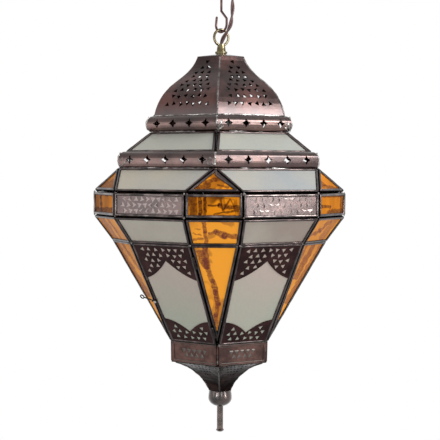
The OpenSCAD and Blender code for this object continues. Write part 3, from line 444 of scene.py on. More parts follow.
dome_finish, tree, shader, aged = metal_finish(
    "dome copper patina", metallic=0.9, coat=0.25, dent=1.2 * mm,
    Dark=(0.026, 0.014, 0.013, 1), Warm=(0.115, 0.05, 0.043, 1),
    Patch_Scale=17.0, Grain_Scale=330.0, Rough=0.33)
place = add(tree, "TexCoord")
level = add(tree, "SeparateXYZ")
redder = add(tree, "MapRange", From_Min=dome_low.z, From_Max=dome_high.z, To_Min=0.0, To_Max=-0.08)
# The sheet just above the rim is mixed toward light grey, most at the rim: a painted sheen.
painted_rim_sheen = add(tree, "MapRange", From_Min=dome_low.z, From_Max=dome_low.z + rim_sheen_height,
                 To_Min=0.75, To_Max=0.0)
rim_sheen_tint = add(tree, "Mix", data_type="RGBA", B=(0.135, 0.116, 0.116, 1))
join(tree, (place, "Object", level, 0), (level, "Z", redder, "Value"), (redder, 0, aged, "Warmth"),
     (level, "Z", painted_rim_sheen, "Value"), (painted_rim_sheen, 0, rim_sheen_tint, "Factor"), (aged, "Color", rim_sheen_tint, "A"),
     (rim_sheen_tint, "Result", shader, "Base Color"))
dome_names = [f"dome_panel_{k}" for k in range(1, 7)]
dress(dome_finish, "top_cap", *dome_names)
ease_edges(0.25 * mm, "top_cap")

seam_start = -90
half_side = 30
beside_by = 1
far_out = 0.4
random.seed(7)


def corner_way(turn):
    """Outward direction of a corner of the six sides."""
    return Vector((math.cos(math.radians(turn)), math.sin(math.radians(turn)), 0))


def surface_spot(names, turn, z):
    """Point on the outer corner at this turn and height, found on the sheet close beside it."""
    beside = corner_way(turn + beside_by)
    to_corner = math.cos(math.radians(half_side - beside_by)) / math.cos(math.radians(half_side))
    for name in names:
        hit, spot, *_ = NODES[name].ray_cast(Vector((0, 0, z)) + far_out * beside, -beside)
        if hit:
            return math.hypot(spot.x, spot.y) * to_corner * corner_way(turn) + Vector((0, 0, z))
    return None


def solder_run(points, thick, uneven):
    """Adds to the mesh in hand a run of solder from spot to spot, swelling and thinning."""
    way = (points[-1] - points[0]).normalized()
    bpy.ops.mesh.select_all(action="DESELECT")
    bpy.ops.mesh.primitive_circle_add(vertices=6, radius=thick, fill_type="NGON", location=points[0],
                                      rotation=way.to_track_quat("Z", "Y").to_euler())
    size = 1
    for last, spot in zip(points, points[1:]):
        wanted = 1 + uneven * random.uniform(-1, 1)
        bpy.ops.mesh.extrude_region_move(TRANSFORM_OT_translate={"value": spot - last})
        bpy.ops.transform.resize(value=[wanted / size] * 3, center_override=spot)
        size = wanted


def solder_blob(spot, size, way):
    """Adds to the mesh in hand a low round blob of solder that faces this way."""
    bpy.ops.mesh.select_all(action="DESELECT")
    bpy.ops.mesh.primitive_uv_sphere_add(segments=10, ring_count=6, radius=size, location=spot)
    wide = [1 + 0.25 * random.uniform(-1, 1) - 0.4 * abs(part) for part in way]
    bpy.ops.transform.resize(value=wide, center_override=spot)


def start_solder():
    """An empty mesh object in edit mode, for runs and blobs."""
    bpy.ops.object.select_all(action="DESELECT")
    bpy.ops.mesh.primitive_plane_add(size=mm)
    bpy.ops.object.mode_set(mode="EDIT")
    bpy.ops.mesh.delete(type="VERT")


def end_solder(name, material):
    """Closes the mesh in hand as a piece of solder on the lantern."""
    bpy.ops.mesh.select_all(action="SELECT")
    bpy.ops.mesh.normals_make_consistent(inside=False)
    bpy.ops.object.mode_set(mode="OBJECT")
    finish_mesh(name, "lantern", material)


solder_finish, *_ = metal_finish(
    "dulled solder", metallic=0.95, coat=0.0, dent=0.3 * mm,
    Dark=(0.1, 0.085, 0.082, 1), Warm=(0.62, 0.6, 0.58, 1),
    Patch_Scale=90.0, Grain_Scale=500.0, Rough=0.24)

browned_finish, *_ = metal_finish(
    "browned solder", metallic=0.9, coat=0.1, dent=0.4 * mm,
    Dark=(0.06, 0.047, 0.045, 1), Warm=(0.27, 0.25, 0.24, 1),
    Patch_Scale=80.0, Grain_Scale=500.0, Rough=0.26)


def corner_seams(name, nodes, box, start, end, material, steps, sunk, thick, uneven):
    """A run of solder along each corner of these nodes, from one share of a box's height to another."""
    low, high = box
    levels = [low.z + (high.z - low.z) * (start + (end - start) * i / steps) for i in range(steps + 1)]
    start_solder()
    for k in range(6):
        turn = seam_start + 60 * k
        spots = [surface_spot(nodes, turn, z) for z in levels]
        solder_run([spot - sunk * corner_way(turn) for spot in spots if spot], thick, uneven)
    end_solder(name, material)


corner_seams("dome_seams", dome_names, (dome_low, dome_high), 0.99, 0.01, browned_finish,
             steps=26, sunk=0.85 * mm, thick=1.5 * mm, uneven=0.3)


# ---- Rolled bands ----
# Half-round lengths of sheet, rolled over a bar, pierced with four-point stars and mitred at the
# corners, where solder fills the joint. Over the patina, faces turned up are darkened and faces turned
# down are lightened: painted shade and painted light.

band_finish, tree, shader, aged = metal_finish(
    "rolled band patina", metallic=0.9, coat=0.4, dent=0.8 * mm,
    Dark=(0.064, 0.042, 0.04, 1), Warm=(0.14, 0.085, 0.076, 1),
    Patch_Scale=24.0, Grain_Scale=360.0, Rough=0.22)
# Colour darkened on faces turned up and lightened on faces turned down: painted shade and painted light.
faces = add(tree, "NewGeometry")
slope = add(tree, "SeparateXYZ")
painted_light_by_slope = add(tree, "MapRange", From_Min=-0.8, From_Max=0.5, To_Min=1.9, To_Max=0.48)
slope_lit_colour = add(tree, "Mix", data_type="RGBA", blend_type="MULTIPLY", Factor=1.0)
join(tree, (faces, "True Normal", slope, 0), (slope, "Z", painted_light_by_slope, "Value"), (aged, "Color", slope_lit_colour, "A"),
     (painted_light_by_slope, 0, slope_lit_colour, "B"), (slope_lit_colour, "Result", shader, "Base Color"))
dress(band_finish, "upper_band", "lower_band")
ease_edges(0.3 * mm, "upper_band", "lower_band", angle=42)

ring_step = 9 * mm
ring_sway = 0.35 * mm


def ring_line(radius, z, side):
    """Spots along one side of the six, at this corner radius and height, a little uneven."""
    start, end = corner_way(seam_start + 60 * side), corner_way(seam_start + 60 * side + 60)
    count = max(8, round(radius / ring_step))
    spots = []
    for i in range(count + 1):
        sway = Vector([ring_sway * random.uniform(-1, 1) for _ in range(3)])
        spots.append(radius * start.lerp(end, i / count) + Vector((0, 0, z)) + sway)
    return spots


def corner_reach(name, z, within=0.6 * mm):
    """Farthest that a node reaches from the lantern's axis at this height."""
    return max(math.hypot(v.co.x, v.co.y) for v in NODES[name].data.vertices if abs(v.co.z - z) < within)


def broken_run(spots, thick, kept):
    """Solder on some stretches of a line of spots, with the rest left bare."""
    stretch = []
    for spot in [*spots, None]:
        if spot is not None and random.random() < kept:
            stretch.append(spot)
            continue
        if len(stretch) > 1:
            solder_run(stretch, thick * random.uniform(0.7, 1.2), 0.5)
        stretch = []


def skin_spot(name, turn, z):
    """Point on a node's outer face at this turn and height."""
    way = corner_way(turn)
    hit, spot, *_ = NODES[name].ray_cast(Vector((0, 0, z)) + far_out * way, -way)
    return spot if hit else None


# Smears beside each mitre: degrees from it at their head and foot, and thickness in mm.
smears = ((9, 0.6, 1.5), (5, 2.5, 1.1), (3.5, 0.3, 1.9))
smear_top, smear_step = 7 * mm, 2.6 * mm
roll_height = 22 * mm
mitre_r, mitre_sunk = 1.0 * mm, 0.5 * mm
blob_r, blob_drop = 1.9 * mm, 3 * mm
band_boxes = {name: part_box(name) for name in ("upper_band", "lower_band")}
_, upper_high = band_boxes["upper_band"]
start_solder()
for name, (_, high) in band_boxes.items():
    for k in range(6):
        turn = seam_start + 60 * k
        spots = [surface_spot([name], turn, high.z - roll_height * i / 12) for i in range(1, 12)]
        solder_run([spot - mitre_sunk * corner_way(turn) for spot in spots if spot], mitre_r, 0.45)
        side = -1 if (k + (name == "upper_band")) % 2 == 0 else 1
        for start, end, thick in smears:
            spread = start * upper_high.x / high.x
            smear = [skin_spot(name, turn + side * (spread + (end - spread) * i / 4),
                               high.z - smear_top - smear_step * i - start / 3 * mm) for i in range(5)]
            sunk = 0.7 * thick * mm * corner_way(turn)
            solder_run([spot - sunk for spot in smear if spot], thick * mm, 0.4)
        solder_blob(surface_spot([name], turn, high.z - blob_drop), blob_r, corner_way(turn))
end_solder("band_mitre_solder", solder_finish)

rim_reach = corner_reach("dome_panel_1", dome_low.z, 1.5 * mm)
rim_z = upper_high.z + 0.3 * mm
rim_r, edge_r = 0.8 * mm, 0.75 * mm
edge_out = 0.4 * mm
edge_kept = 0.72
start_solder()
for side in range(6):
    solder_run(ring_line(rim_reach, rim_z, side), rim_r, 0.5)
    for name, end in (("neck_frames", 1), ("neck_frames", 0), ("shoulder_cream_frames", 1)):
        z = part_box(name)[end].z
        broken_run(ring_line(corner_reach(name, z) + edge_out, z, side), edge_r, edge_kept)
end_solder("rim_solder", solder_finish)


# ---- Cames ----
# Channel strips of soft dark metal that grip the panes; each face has its own frame, and the frames
# stand edge to edge and are soldered at their corners.

came_finish, *_ = metal_finish(
    "blackened came", metallic=0.9, coat=0.15, dent=0.3 * mm,
    Dark=(0.009, 0.006, 0.006, 1), Warm=(0.032, 0.021, 0.02, 1),
    Patch_Scale=48.0, Grain_Scale=420.0, Rough=0.2)
came_names = ["neck_frames", "shoulder_cream_frames", "shoulder_amber_frames", "waist_plate_frames",
              "waist_amber_frames", "belly_cream_frames", "belly_amber_frames", "tall_cream_frames",
              "tall_amber_frames", "door_frame"]
dress(came_finish, *came_names)
ease_edges(0.7 * mm, *came_names)

came_w = 3.3 * mm
bead_r = 1.45 * mm
bead_proud = 0.55 * mm
bead_step = 6 * mm
bead_sway = 0.08 * mm
latch_low, latch_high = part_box("latch_rivet")
latch_pivot = (latch_low + latch_high) / 2
latch_sweep = 34 * mm
bead_sunk = 0.7 * mm
same_spot = 0.02 * mm
same_level = 0.3 * mm
shortest_side = 2 * mm
least_bend = math.radians(12)


def solids_of(name):
    """The solids of a node, each a list of its faces as (normal, area, corners)."""
    mesh, home = NODES[name].data, {}

    def root(key):
        while home[key] != key:
            key = home[key]
        return key

    faces = []
    for face in mesh.polygons:
        corners = [mesh.vertices[i].co.copy() for i in face.vertices]
        keys = [tuple(round(part / same_spot) for part in corner) for corner in corners]
        for key in keys:
            home.setdefault(key, key)
        for key in keys[1:]:
            home[root(key)] = root(keys[0])
        faces.append((keys[0], (face.normal.copy(), face.area, corners)))
    solids = {}
    for key, face in faces:
        solids.setdefault(root(key), []).append(face)
    return list(solids.values())


def bead_line(faces):
    """Middle line of a frame's outer face, all the way round, where a round bead lies on it. The bead
    lies lower where the latch turns over it."""
    spots = [corner for _, _, corners in faces for corner in corners]
    outward = sum(spots, Vector()) / len(spots)
    outward.z = 0
    shares = {}
    for normal, area, _ in faces:
        if normal.dot(outward) > 0:
            key = tuple(round(part, 1) for part in normal)
            share = shares.setdefault(key, [0, normal])
            share[0] += area
    way = max(shares.values(), key=lambda share: share[0])[1]
    level = max(spot.dot(way) for spot in spots)
    side = Vector((0, 0, 1)).cross(way).normalized()
    up = way.cross(side)
    flat = [Vector((spot.dot(side), spot.dot(up))) for spot in spots if level - spot.dot(way) < same_level]
    hull = [flat[i] for i in geometry.convex_hull_2d(flat)]
    hull = [b for a, b in zip(hull[-1:] + hull, hull) if (b - a).length > shortest_side]
    hull = [b for a, b, c in zip(hull[-1:] + hull, hull, hull[1:] + hull[:1])
            if abs((b - a).angle_signed(c - b)) > least_bend]
    middle = sum(hull, Vector((0, 0))) / len(hull)
    inner = []
    for a, b, c in zip(hull[-1:] + hull, hull, hull[1:] + hull[:1]):
        inward = []
        for along in ((b - a).normalized(), (c - b).normalized()):
            across = Vector((-along.y, along.x))
            inward.append(across if across.dot(middle - b) > 0 else -across)
        inner.append(b + (inward[0] + inward[1]) * (came_w / 2) / (1 + inward[0].dot(inward[1])))
    line = []
    for a, b in zip(inner, inner[1:] + inner[:1]):
        count = max(2, round((b - a).length / bead_step))
        for i in range(count):
            spot = a.lerp(b, i / count)
            depth = level - bead_r + bead_proud + bead_sway * random.uniform(-1, 1)
            spot = spot.x * side + spot.y * up + depth * way
            if (spot - latch_pivot).length < latch_sweep:
                spot -= bead_sunk * way
            line.append(spot)
    return line


bead_finish, *_ = metal_finish(
    "came bead", metallic=0.9, coat=0.4, dent=0.5 * mm,
    Dark=(0.014, 0.009, 0.009, 1), Warm=(0.09, 0.062, 0.058, 1),
    Patch_Scale=60.0, Grain_Scale=420.0, Rough=0.16)
# The waist frames' beads get a lighter colour than the others: partly a lighter metal, partly a painted
# highlight.
waist_bead_glint_finish, *_ = metal_finish(
    "came bead with painted glint", metallic=0.9, coat=0.4, dent=0.5 * mm,
    Dark=(0.02, 0.014, 0.014, 1), Warm=(0.2, 0.16, 0.15, 1),
    Patch_Scale=50.0, Grain_Scale=420.0, Rough=0.15)
for name in came_names:
    body = "door" if name.startswith("door") else "lantern"
    round_wires([bead_line(faces) for faces in solids_of(name)], bead_r, closed=True, uneven=0.09)
    finish = waist_bead_glint_finish if name.startswith("waist") else bead_finish
    finish_mesh(name.replace("frames", "beads").replace("frame", "beads"), body, finish)


same_turn = 4
near_level = 1.2 * mm
outermost = 0.985
joint_r = (1.5 * mm, 2.2 * mm)
joint_sunk = 1.1 * mm


def outer_corners(name, z):
    """The outermost corners of a node at this height, one for each turn about the axis."""
    found = {}
    for v in NODES[name].data.vertices:
        if abs(v.co.z - z) < near_level:
            reach = math.hypot(v.co.x, v.co.y)
            turn = round(math.degrees(math.atan2(v.co.y, v.co.x)) / same_turn)
            if turn not in found or reach > found[turn][0]:
                found[turn] = (reach, v.co.copy())
    farthest = max(reach for reach, _ in found.values())
    return [spot for reach, spot in found.values() if reach > outermost * farthest]


joint_levels = [("shoulder_cream_frames", 0), ("waist_plate_frames", 1), ("waist_plate_frames", 0),
                ("belly_cream_frames", 0), ("tall_cream_frames", 0), ("neck_frames", 0), ("neck_frames", 1)]
start_solder()
for name, end in joint_levels:
    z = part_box(name)[end].z
    for spot in outer_corners(name, z):
        way = Vector((spot.x, spot.y, 0)).normalized()
        solder_blob(spot - joint_sunk * way, random.uniform(*joint_r), way)
end_solder("came_joint_solder", browned_finish)


# ---- Cream panes ----
# Frosted glass, cream with a breath of green or pink from tier to tier, its face softly uneven. Each
# pane is cut to its tier's shape and slipped into the cames. Each tier shifts in tint from left to
# right, or from head to foot on the tall tier, and is lighter at its left and darker at its right:
# painted light and shade.

frosted, inlet, outlet = new_group(
    "frosted glass",
    {"Warm": ("Color", (0.44, 0.38, 0.33, 1)), "Cool": ("Color", (0.39, 0.40, 0.35, 1)),
     "Lean": ("Vector", (4, 0, 0)), "Start": ("Float", 0.5)},
    {"Color": "Color", "Roughness": "Float", "Height": "Float"})
place = add(frosted, "TexCoord")
clouds = add(frosted, "TexNoise", Scale=14.0, Detail=3.0)
cloud_share = add(frosted, "MapRange", From_Min=0.3, From_Max=0.7, To_Min=-0.35, To_Max=0.35)
# Lean and Start grade each tier from one colour to the other: a tint with painted light and shade.
leaning = add(frosted, "VectorMath", operation="DOT_PRODUCT")
started = add(frosted, "Math", operation="ADD")
shade_and_cloud_mask = add(frosted, "Math", operation="ADD", use_clamp=True)
tint = add(frosted, "Mix", data_type="RGBA")
frost = add(frosted, "TexNoise", Scale=420.0, Detail=3.0, Roughness=0.7)
frost_shade = add(frosted, "MapRange", From_Min=0.25, From_Max=0.75, To_Min=0.93, To_Max=1.06)
shaded = add(frosted, "Mix", data_type="RGBA", blend_type="MULTIPLY", Factor=1.0)
ripple = add(frosted, "TexNoise", Scale=55.0, Detail=2.0)
matt = add(frosted, "MapRange", From_Min=0.3, From_Max=0.7, To_Min=0.3, To_Max=0.44)
skin = add(frosted, "Math", operation="MULTIPLY_ADD", second=0.12)
join(frosted, (place, "Object", clouds, "Vector"), (place, "Object", frost, "Vector"),
     (place, "Object", ripple, "Vector"), (clouds, "Fac", cloud_share, "Value"),
     (place, "Object", leaning, 0), (inlet, "Lean", leaning, 1), (leaning, "Value", started, 0),
     (inlet, "Start", started, 1), (started, 0, shade_and_cloud_mask, 0), (cloud_share, 0, shade_and_cloud_mask, 1),
     (shade_and_cloud_mask, 0, tint, "Factor"), (inlet, "Warm", tint, "A"), (inlet, "Cool", tint, "B"),
     (frost, "Fac", frost_shade, "Value"), (tint, "Result", shaded, "A"), (frost_shade, 0, shaded, "B"),
     (ripple, "Fac", matt, "Value"), (frost, "Fac", skin, 0), (ripple, "Fac", skin, 2),
     (shaded, "Result", outlet, "Color"), (matt, 0, outlet, "Roughness"), (skin, 0, outlet, "Height"))


def cream_glass(name, warm_lit, cool_shaded, *nodes, downward=False):
    """A frosted pane finish, put on these nodes: warm at the left and cool at the right, or, downward,
    warm at the head and cool at the foot. The lighter left and darker right are painted light and shade."""
    finish, tree, shader = begin(name)
    look = place_group(tree, frosted, Warm=(*warm_lit, 1), Cool=(*cool_shaded, 1))
    if downward:
        low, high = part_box(nodes[0])
        fade_top, fade_height = high.z - 0.1 * (high.z - low.z), 0.75 * (high.z - low.z)
        look.inputs["Lean"].default_value = (0, 0, -1 / fade_height)
        look.inputs["Start"].default_value = fade_top / fade_height
    bump = add(tree, "Bump", Strength=0.6, Distance=0.5 * mm)
    join(tree, (look, "Color", shader, "Base Color"), (look, "Roughness", shader, "Roughness"),
         (look, "Height", bump, "Height"), (bump, "Normal", shader, "Normal"))
    shader.inputs["Transmission Weight"].default_value = 0.15
    shader.inputs["IOR"].default_value = 1.5
    dress(finish, *nodes)


# Each tier is lighter at its left than at its right, the tall tier pinker at its head: tint with painted
# light and shade.
cream_glass("neck cream glass", (0.47, 0.45, 0.38), (0.4, 0.415, 0.375), "neck_panes")
cream_glass("shoulder cream glass", (0.51, 0.46, 0.37), (0.37, 0.39, 0.395), "shoulder_cream_panes")
cream_glass("belly cream glass", (0.45, 0.42, 0.35), (0.3, 0.24, 0.2), "belly_cream_panes")
cream_glass("tall cream glass", (0.47, 0.385, 0.33), (0.39, 0.4, 0.325), "tall_cream_panes", "door_pane",
            downward=True)


# ---- Amber panes ----
# Hand-made streaky glass: clear amber with brown and mauve threads that were drawn out in the melt,
# mostly up and down, and a wavy, glossy face. The waist and shoulder panes get darker amber, a painted
# shade, and the panes left and right of the middle are darkened in clouds, also painted shade.

streaky, inlet, outlet = new_group(
    "streaky amber",
    {"Clear": ("Color", (0.9, 0.37, 0.035, 1)), "Deep": ("Color", (0.2, 0.055, 0.02, 1)),
     "Thread Scale": ("Float", 20.0), "Amount": ("Float", 0.5)},
    {"Color": "Color", "Mask": "Float", "Height": "Float"})
place = add(streaky, "TexCoord")
drawn = add(streaky, "Mapping", Scale=(1, 1, 0.32))
threads = add(streaky, "TexNoise", Detail=2.5, Roughness=0.55, Distortion=0.9)
from_middle = add(streaky, "Math", operation="SUBTRACT", second=0.5)
either_side = add(streaky, "Math", operation="ABSOLUTE")
thread_mask = add(streaky, "MapRange", interpolation_type="SMOOTHSTEP", From_Min=0.03, From_Max=0.008)
gathered = add(streaky, "TexNoise", Scale=11.0, Detail=1.0)
gather_mask = add(streaky, "MapRange", interpolation_type="SMOOTHSTEP", From_Min=0.48, From_Max=0.62)
kept = add(streaky, "Math", operation="MULTIPLY")
smoke = add(streaky, "TexNoise", Scale=17.0, Detail=4.0, Roughness=0.6)
smoke_mask = add(streaky, "MapRange", interpolation_type="SMOOTHSTEP", From_Min=0.52, From_Max=0.78)
both = add(streaky, "Math", operation="MAXIMUM")
strength = add(streaky, "Math", operation="MULTIPLY")
# Panes to the left and right of the middle are darkened toward Deep in clouds: painted shade.
axes = add(streaky, "SeparateXYZ")
off_middle = add(streaky, "Math", operation="ABSOLUTE")
side_shade_mask = add(streaky, "MapRange", interpolation_type="SMOOTHSTEP", From_Min=0.06, From_Max=0.1)
side_shade_cloud = add(streaky, "MapRange", From_Min=0.36, From_Max=0.6, To_Min=0.25)
side_shade_share = add(streaky, "Math", operation="MULTIPLY")
painted_side_shade = add(streaky, "Math", operation="MULTIPLY", second=0.5)
darkest = add(streaky, "Math", operation="MAXIMUM")
tint = add(streaky, "Mix", data_type="RGBA")
wave = add(streaky, "TexNoise", Scale=45.0, Detail=1.5)
join(streaky, (drawn, "Vector", threads, "Vector"), (drawn, "Vector", gathered, "Vector"),
     (drawn, "Vector", smoke, "Vector"), (place, "Object", drawn, "Vector"),
     (place, "Object", wave, "Vector"), (inlet, "Thread Scale", threads, "Scale"),
     (threads, "Fac", from_middle, 0), (from_middle, 0, either_side, 0),
     (either_side, 0, thread_mask, "Value"), (gathered, "Fac", gather_mask, "Value"),
     (thread_mask, 0, kept, 0), (gather_mask, 0, kept, 1), (smoke, "Fac", smoke_mask, "Value"),
     (kept, 0, both, 0), (smoke_mask, 0, both, 1), (both, 0, strength, 0), (inlet, "Amount", strength, 1),
     (place, "Object", axes, 0), (axes, "X", off_middle, 0), (off_middle, 0, side_shade_mask, "Value"),
     (smoke, "Fac", side_shade_cloud, "Value"), (side_shade_mask, 0, side_shade_share, 0),
     (side_shade_cloud, 0, side_shade_share, 1), (side_shade_share, 0, painted_side_shade, 0), (strength, 0, darkest, 0),
     (painted_side_shade, 0, darkest, 1), (darkest, 0, tint, "Factor"), (inlet, "Clear", tint, "A"),
     (inlet, "Deep", tint, "B"), (tint, "Result", outlet, "Color"), (strength, 0, outlet, "Mask"),
     (wave, "Fac", outlet, "Height"))

drawn_thread, inlet, outlet = new_group(
    "drawn thread",
    {"From": ("Vector", (0, 0, 0)), "To": ("Vector", (0, 0, 0)), "Width": ("Float", 0.002),
     "Wobble": ("Float", 0.004)},
    {"Mask": "Float"})
place = add(drawn_thread, "TexCoord")
flat = add(drawn_thread, "VectorMath", operation="MULTIPLY", second=(1, 0, 1))
sway = add(drawn_thread, "TexNoise", Scale=120.0, Detail=3.5)
sway_middle = add(drawn_thread, "VectorMath", operation="SUBTRACT", second=(0.5, 0.5, 0.5))
sway_size = add(drawn_thread, "VectorMath", operation="SCALE")
swayed = add(drawn_thread, "VectorMath", operation="ADD")
away = add(drawn_thread, "VectorMath", operation="SUBTRACT")
run = add(drawn_thread, "VectorMath", operation="SUBTRACT")
dot = add(drawn_thread, "VectorMath", operation="DOT_PRODUCT")
whole = add(drawn_thread, "VectorMath", operation="DOT_PRODUCT")
share = add(drawn_thread, "Math", operation="DIVIDE", use_clamp=True)
nearest = add(drawn_thread, "VectorMath", operation="SCALE")
gap = add(drawn_thread, "VectorMath", operation="SUBTRACT")
gap_flat = add(drawn_thread, "VectorMath", operation="MULTIPLY", second=(1, 0, 1))
gap_size = add(drawn_thread, "VectorMath", operation="LENGTH")
core = add(drawn_thread, "Math", operation="MULTIPLY", second=0.65)
edge = add(drawn_thread, "MapRange", interpolation_type="SMOOTHSTEP", To_Min=1.0, To_Max=0.0)
marble = add(drawn_thread, "TexNoise", Scale=330.0, Detail=2.0, Distortion=1.2)
marble_share = add(drawn_thread, "MapRange", From_Min=0.36, From_Max=0.6, To_Min=0.55)
marbled = add(drawn_thread, "Math", operation="MULTIPLY")
join(drawn_thread, (place, "Object", flat, 0), (place, "Object", sway, "Vector"),
     (sway, "Color", sway_middle, 0), (sway_middle, 0, sway_size, 0), (inlet, "Wobble", sway_size, "Scale"),
     (flat, 0, swayed, 0), (sway_size, 0, swayed, 1), (swayed, 0, away, 0), (inlet, "From", away, 1),
     (inlet, "To", run, 0), (inlet, "From", run, 1), (away, 0, dot, 0), (run, 0, dot, 1),
     (run, 0, whole, 0), (run, 0, whole, 1), (dot, "Value", share, 0), (whole, "Value", share, 1),
     (run, 0, nearest, 0), (share, 0, nearest, "Scale"), (away, 0, gap, 0), (nearest, 0, gap, 1),
     (gap, 0, gap_flat, 0), (gap_flat, 0, gap_size, 0), (inlet, "Width", core, 0),
     (gap_size, "Value", edge, "Value"), (core, 0, edge, "From Min"), (inlet, "Width", edge, "From Max"),
     (place, "Object", marble, "Vector"), (marble, "Fac", marble_share, "Value"), (edge, 0, marbled, 0),
     (marble_share, 0, marbled, 1), (marbled, 0, outlet, "Mask"))


def amber_glass(name, node, clear, deep, scale, amount, threads):
    """Streaky amber on a node. threads: (x and height share from, x and height share to, width, wobble,
    strength), with x in mm from the front corner and the share of the tier's height from its foot."""
    finish, tree, shader = begin(name)
    low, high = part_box(node)
    look = place_group(tree, streaky, Clear=(*clear, 1), Deep=(*deep, 1), Thread_Scale=scale, Amount=amount)
    colour = (look, "Color")
    for (x1, s1), (x2, s2), width, wobble, weight in threads:
        ends = [Vector((x * mm, 0, low.z + s * (high.z - low.z))) for x, s in ((x1, s1), (x2, s2))]
        thread = place_group(
            tree, drawn_thread, From=ends[0], To=ends[1], Width=width * mm, Wobble=wobble * mm)
        laid = add(tree, "Math", operation="MULTIPLY", second=weight)
        over = add(tree, "Mix", data_type="RGBA", B=(*deep, 1))
        join(tree, (thread, "Mask", laid, 0), (laid, 0, over, "Factor"), (*colour, over, "A"))
        colour = (over, "Result")
    bump = add(tree, "Bump", Strength=0.5, Distance=1.2 * mm)
    gloss = add(tree, "MapRange", To_Min=0.08, To_Max=0.2)
    join(tree, (*colour, shader, "Base Color"), (look, "Mask", gloss, "Value"),
         (gloss, 0, shader, "Roughness"), (look, "Height", bump, "Height"),
         (bump, "Normal", shader, "Normal"))
    shader.inputs["Transmission Weight"].default_value = 0.05
    shader.inputs["Specular IOR Level"].default_value = 0.02
    dress(finish, node)


tall_threads = [
    ((-13, 0.96), (-11, 0.78), 5.2, 8, 0.9), ((-19, 0.92), (-13, 0.8), 6.5, 9, 0.85),
    ((-11, 0.78), (-4.5, 0.62), 4.2, 6, 0.85), ((-4.5, 0.62), (0, 0.49), 4.2, 6, 0.9),
    ((0, 0.49), (2, 0.37), 4.2, 6, 0.9), ((2, 0.37), (-1.3, 0.24), 3.8, 5, 0.85),
    ((-1.3, 0.24), (-1, 0.1), 3.2, 4, 0.8),
    ((-143, 0.98), (-98, 0.42), 7.0, 9, 0.75), ((-128, 0.97), (-105, 0.7), 2.4, 5, 0.7),
    ((128, 0.98), (104, 0.62), 4.0, 8, 0.75), ((139, 0.95), (92, 0.35), 4.0, 8, 0.7),
    ((119, 0.98), (98, 0.66), 2.0, 5, 0.7)]
amber_glass("tall amber glass", "tall_amber_panes", (0.92, 0.365, 0.036), (0.15, 0.033, 0.024),
            scale=20.0, amount=0.45, threads=tall_threads)
belly_threads = [
    ((-13, 0.97), (-12, 0.5), 3.0, 6, 0.85), ((-12, 0.5), (-10.5, 0.03), 2.8, 6, 0.85),
    ((-7, 0.45), (4, 0.5), 2.2, 6, 0.85), ((3, 0.5), (12, 0.36), 5.0, 7, 0.9),
    ((12, 0.36), (27, 0.3), 4.0, 7, 0.9), ((-26, 0.62), (-18, 0.58), 0.9, 9, 0.6),
    ((-27, 0.44), (-17, 0.4), 1.1, 9, 0.7), ((-27, 0.2), (-16, 0.24), 2.2, 9, 0.75),
    ((-158, 0.95), (-139, 0.05), 5.5, 8, 0.6), ((-147, 0.97), (-129, 0.05), 2.0, 6, 0.7),
    ((150, 0.85), (133, 0.42), 2.4, 8, 0.75), ((134, 0.42), (118, 0.22), 3.2, 9, 0.75),
    ((158, 0.95), (138, 0.1), 4.2, 8, 0.55)]
amber_glass("belly amber glass", "belly_amber_panes", (0.91, 0.355, 0.034), (0.15, 0.033, 0.024),
            scale=24.0, amount=0.45, threads=belly_threads)
waist_threads = [
    ((-29, 0.98), (-28, 0.02), 3.4, 9, 0.8), ((-23, 0.98), (-24, 0.02), 3.0, 9, 0.75),
    ((-17, 0.98), (-17.5, 0.02), 2.6, 5, 1.0), ((-10.8, 0.98), (-11.5, 0.02), 2.4, 5, 0.95),
    ((-7, 0.56), (8, 0.5), 1.5, 6, 0.95), ((6, 0.52), (30, 0.42), 3.6, 6, 0.92),
    ((0, 0.1), (14, 0.2), 1.2, 4, 0.85), ((12, 0.2), (30, 0.27), 1.8, 5, 0.85),
    ((-8, 0.02), (26, 0.03), 1.8, 4, 0.75), ((-4, 0.9), (25, 0.84), 0.9, 5, 0.4),
    ((-157, 0.97), (-156, 0.05), 2.2, 6, 0.95), ((-164, 0.95), (-163, 0.05), 4.0, 8, 0.45),
    ((-166, 0.14), (-136, 0.18), 5.0, 7, 0.85), ((-156, 0.99), (-136, 0.96), 2.4, 5, 0.85),
    ((134, 0.44), (148, 0.38), 2.4, 6, 0.85), ((165.5, 0.97), (165.5, 0.03), 3.6, 5, 0.85),
    ((148, 0.1), (165, 0.14), 5.0, 7, 0.8), ((136, 0.97), (164, 0.95), 2.4, 5, 0.75),
    ((133.5, 0.9), (133.5, 0.3), 1.6, 4, 0.7)]
# Darker amber than the belly and tall panes: painted shade.
amber_glass("waist amber glass", "waist_amber_panes", (0.74, 0.24, 0.006), (0.05, 0.008, 0.002),
            scale=26.0, amount=0.85, threads=waist_threads)
shoulder_threads = [
    ((-12, 0.42), (6, 0.66), 2.6, 6, 0.9), ((-22, 0.12), (-8, 0.3), 4.2, 7, 0.9),
    ((4, 0.32), (17, 0.2), 1.6, 5, 0.85), ((-10, 0.1), (0, 0.08), 2.8, 6, 0.9),
    ((-163, 0.1), (-140, 0.42), 4.5, 8, 0.6), ((-152, 0.05), (-136, 0.2), 3.0, 7, 0.6),
    ((134, 0.5), (142, 0.26), 2.0, 6, 0.75), ((138, 0.26), (164, 0.04), 2.6, 7, 0.75)]
# Darker amber than the belly and tall panes: painted shade.
amber_glass("shoulder amber glass", "shoulder_amber_panes", (0.85, 0.29, 0.008), (0.09, 0.015, 0.002),
            scale=26.0, amount=0.6, threads=shoulder_threads)


# ---- Waist and collar plates ----
# Thin copper sheet, chased from behind with rows of triangles and held in came frames like the panes.
# The triangles' sloping faces are lighter: partly rubbed wear, partly a painted glint.


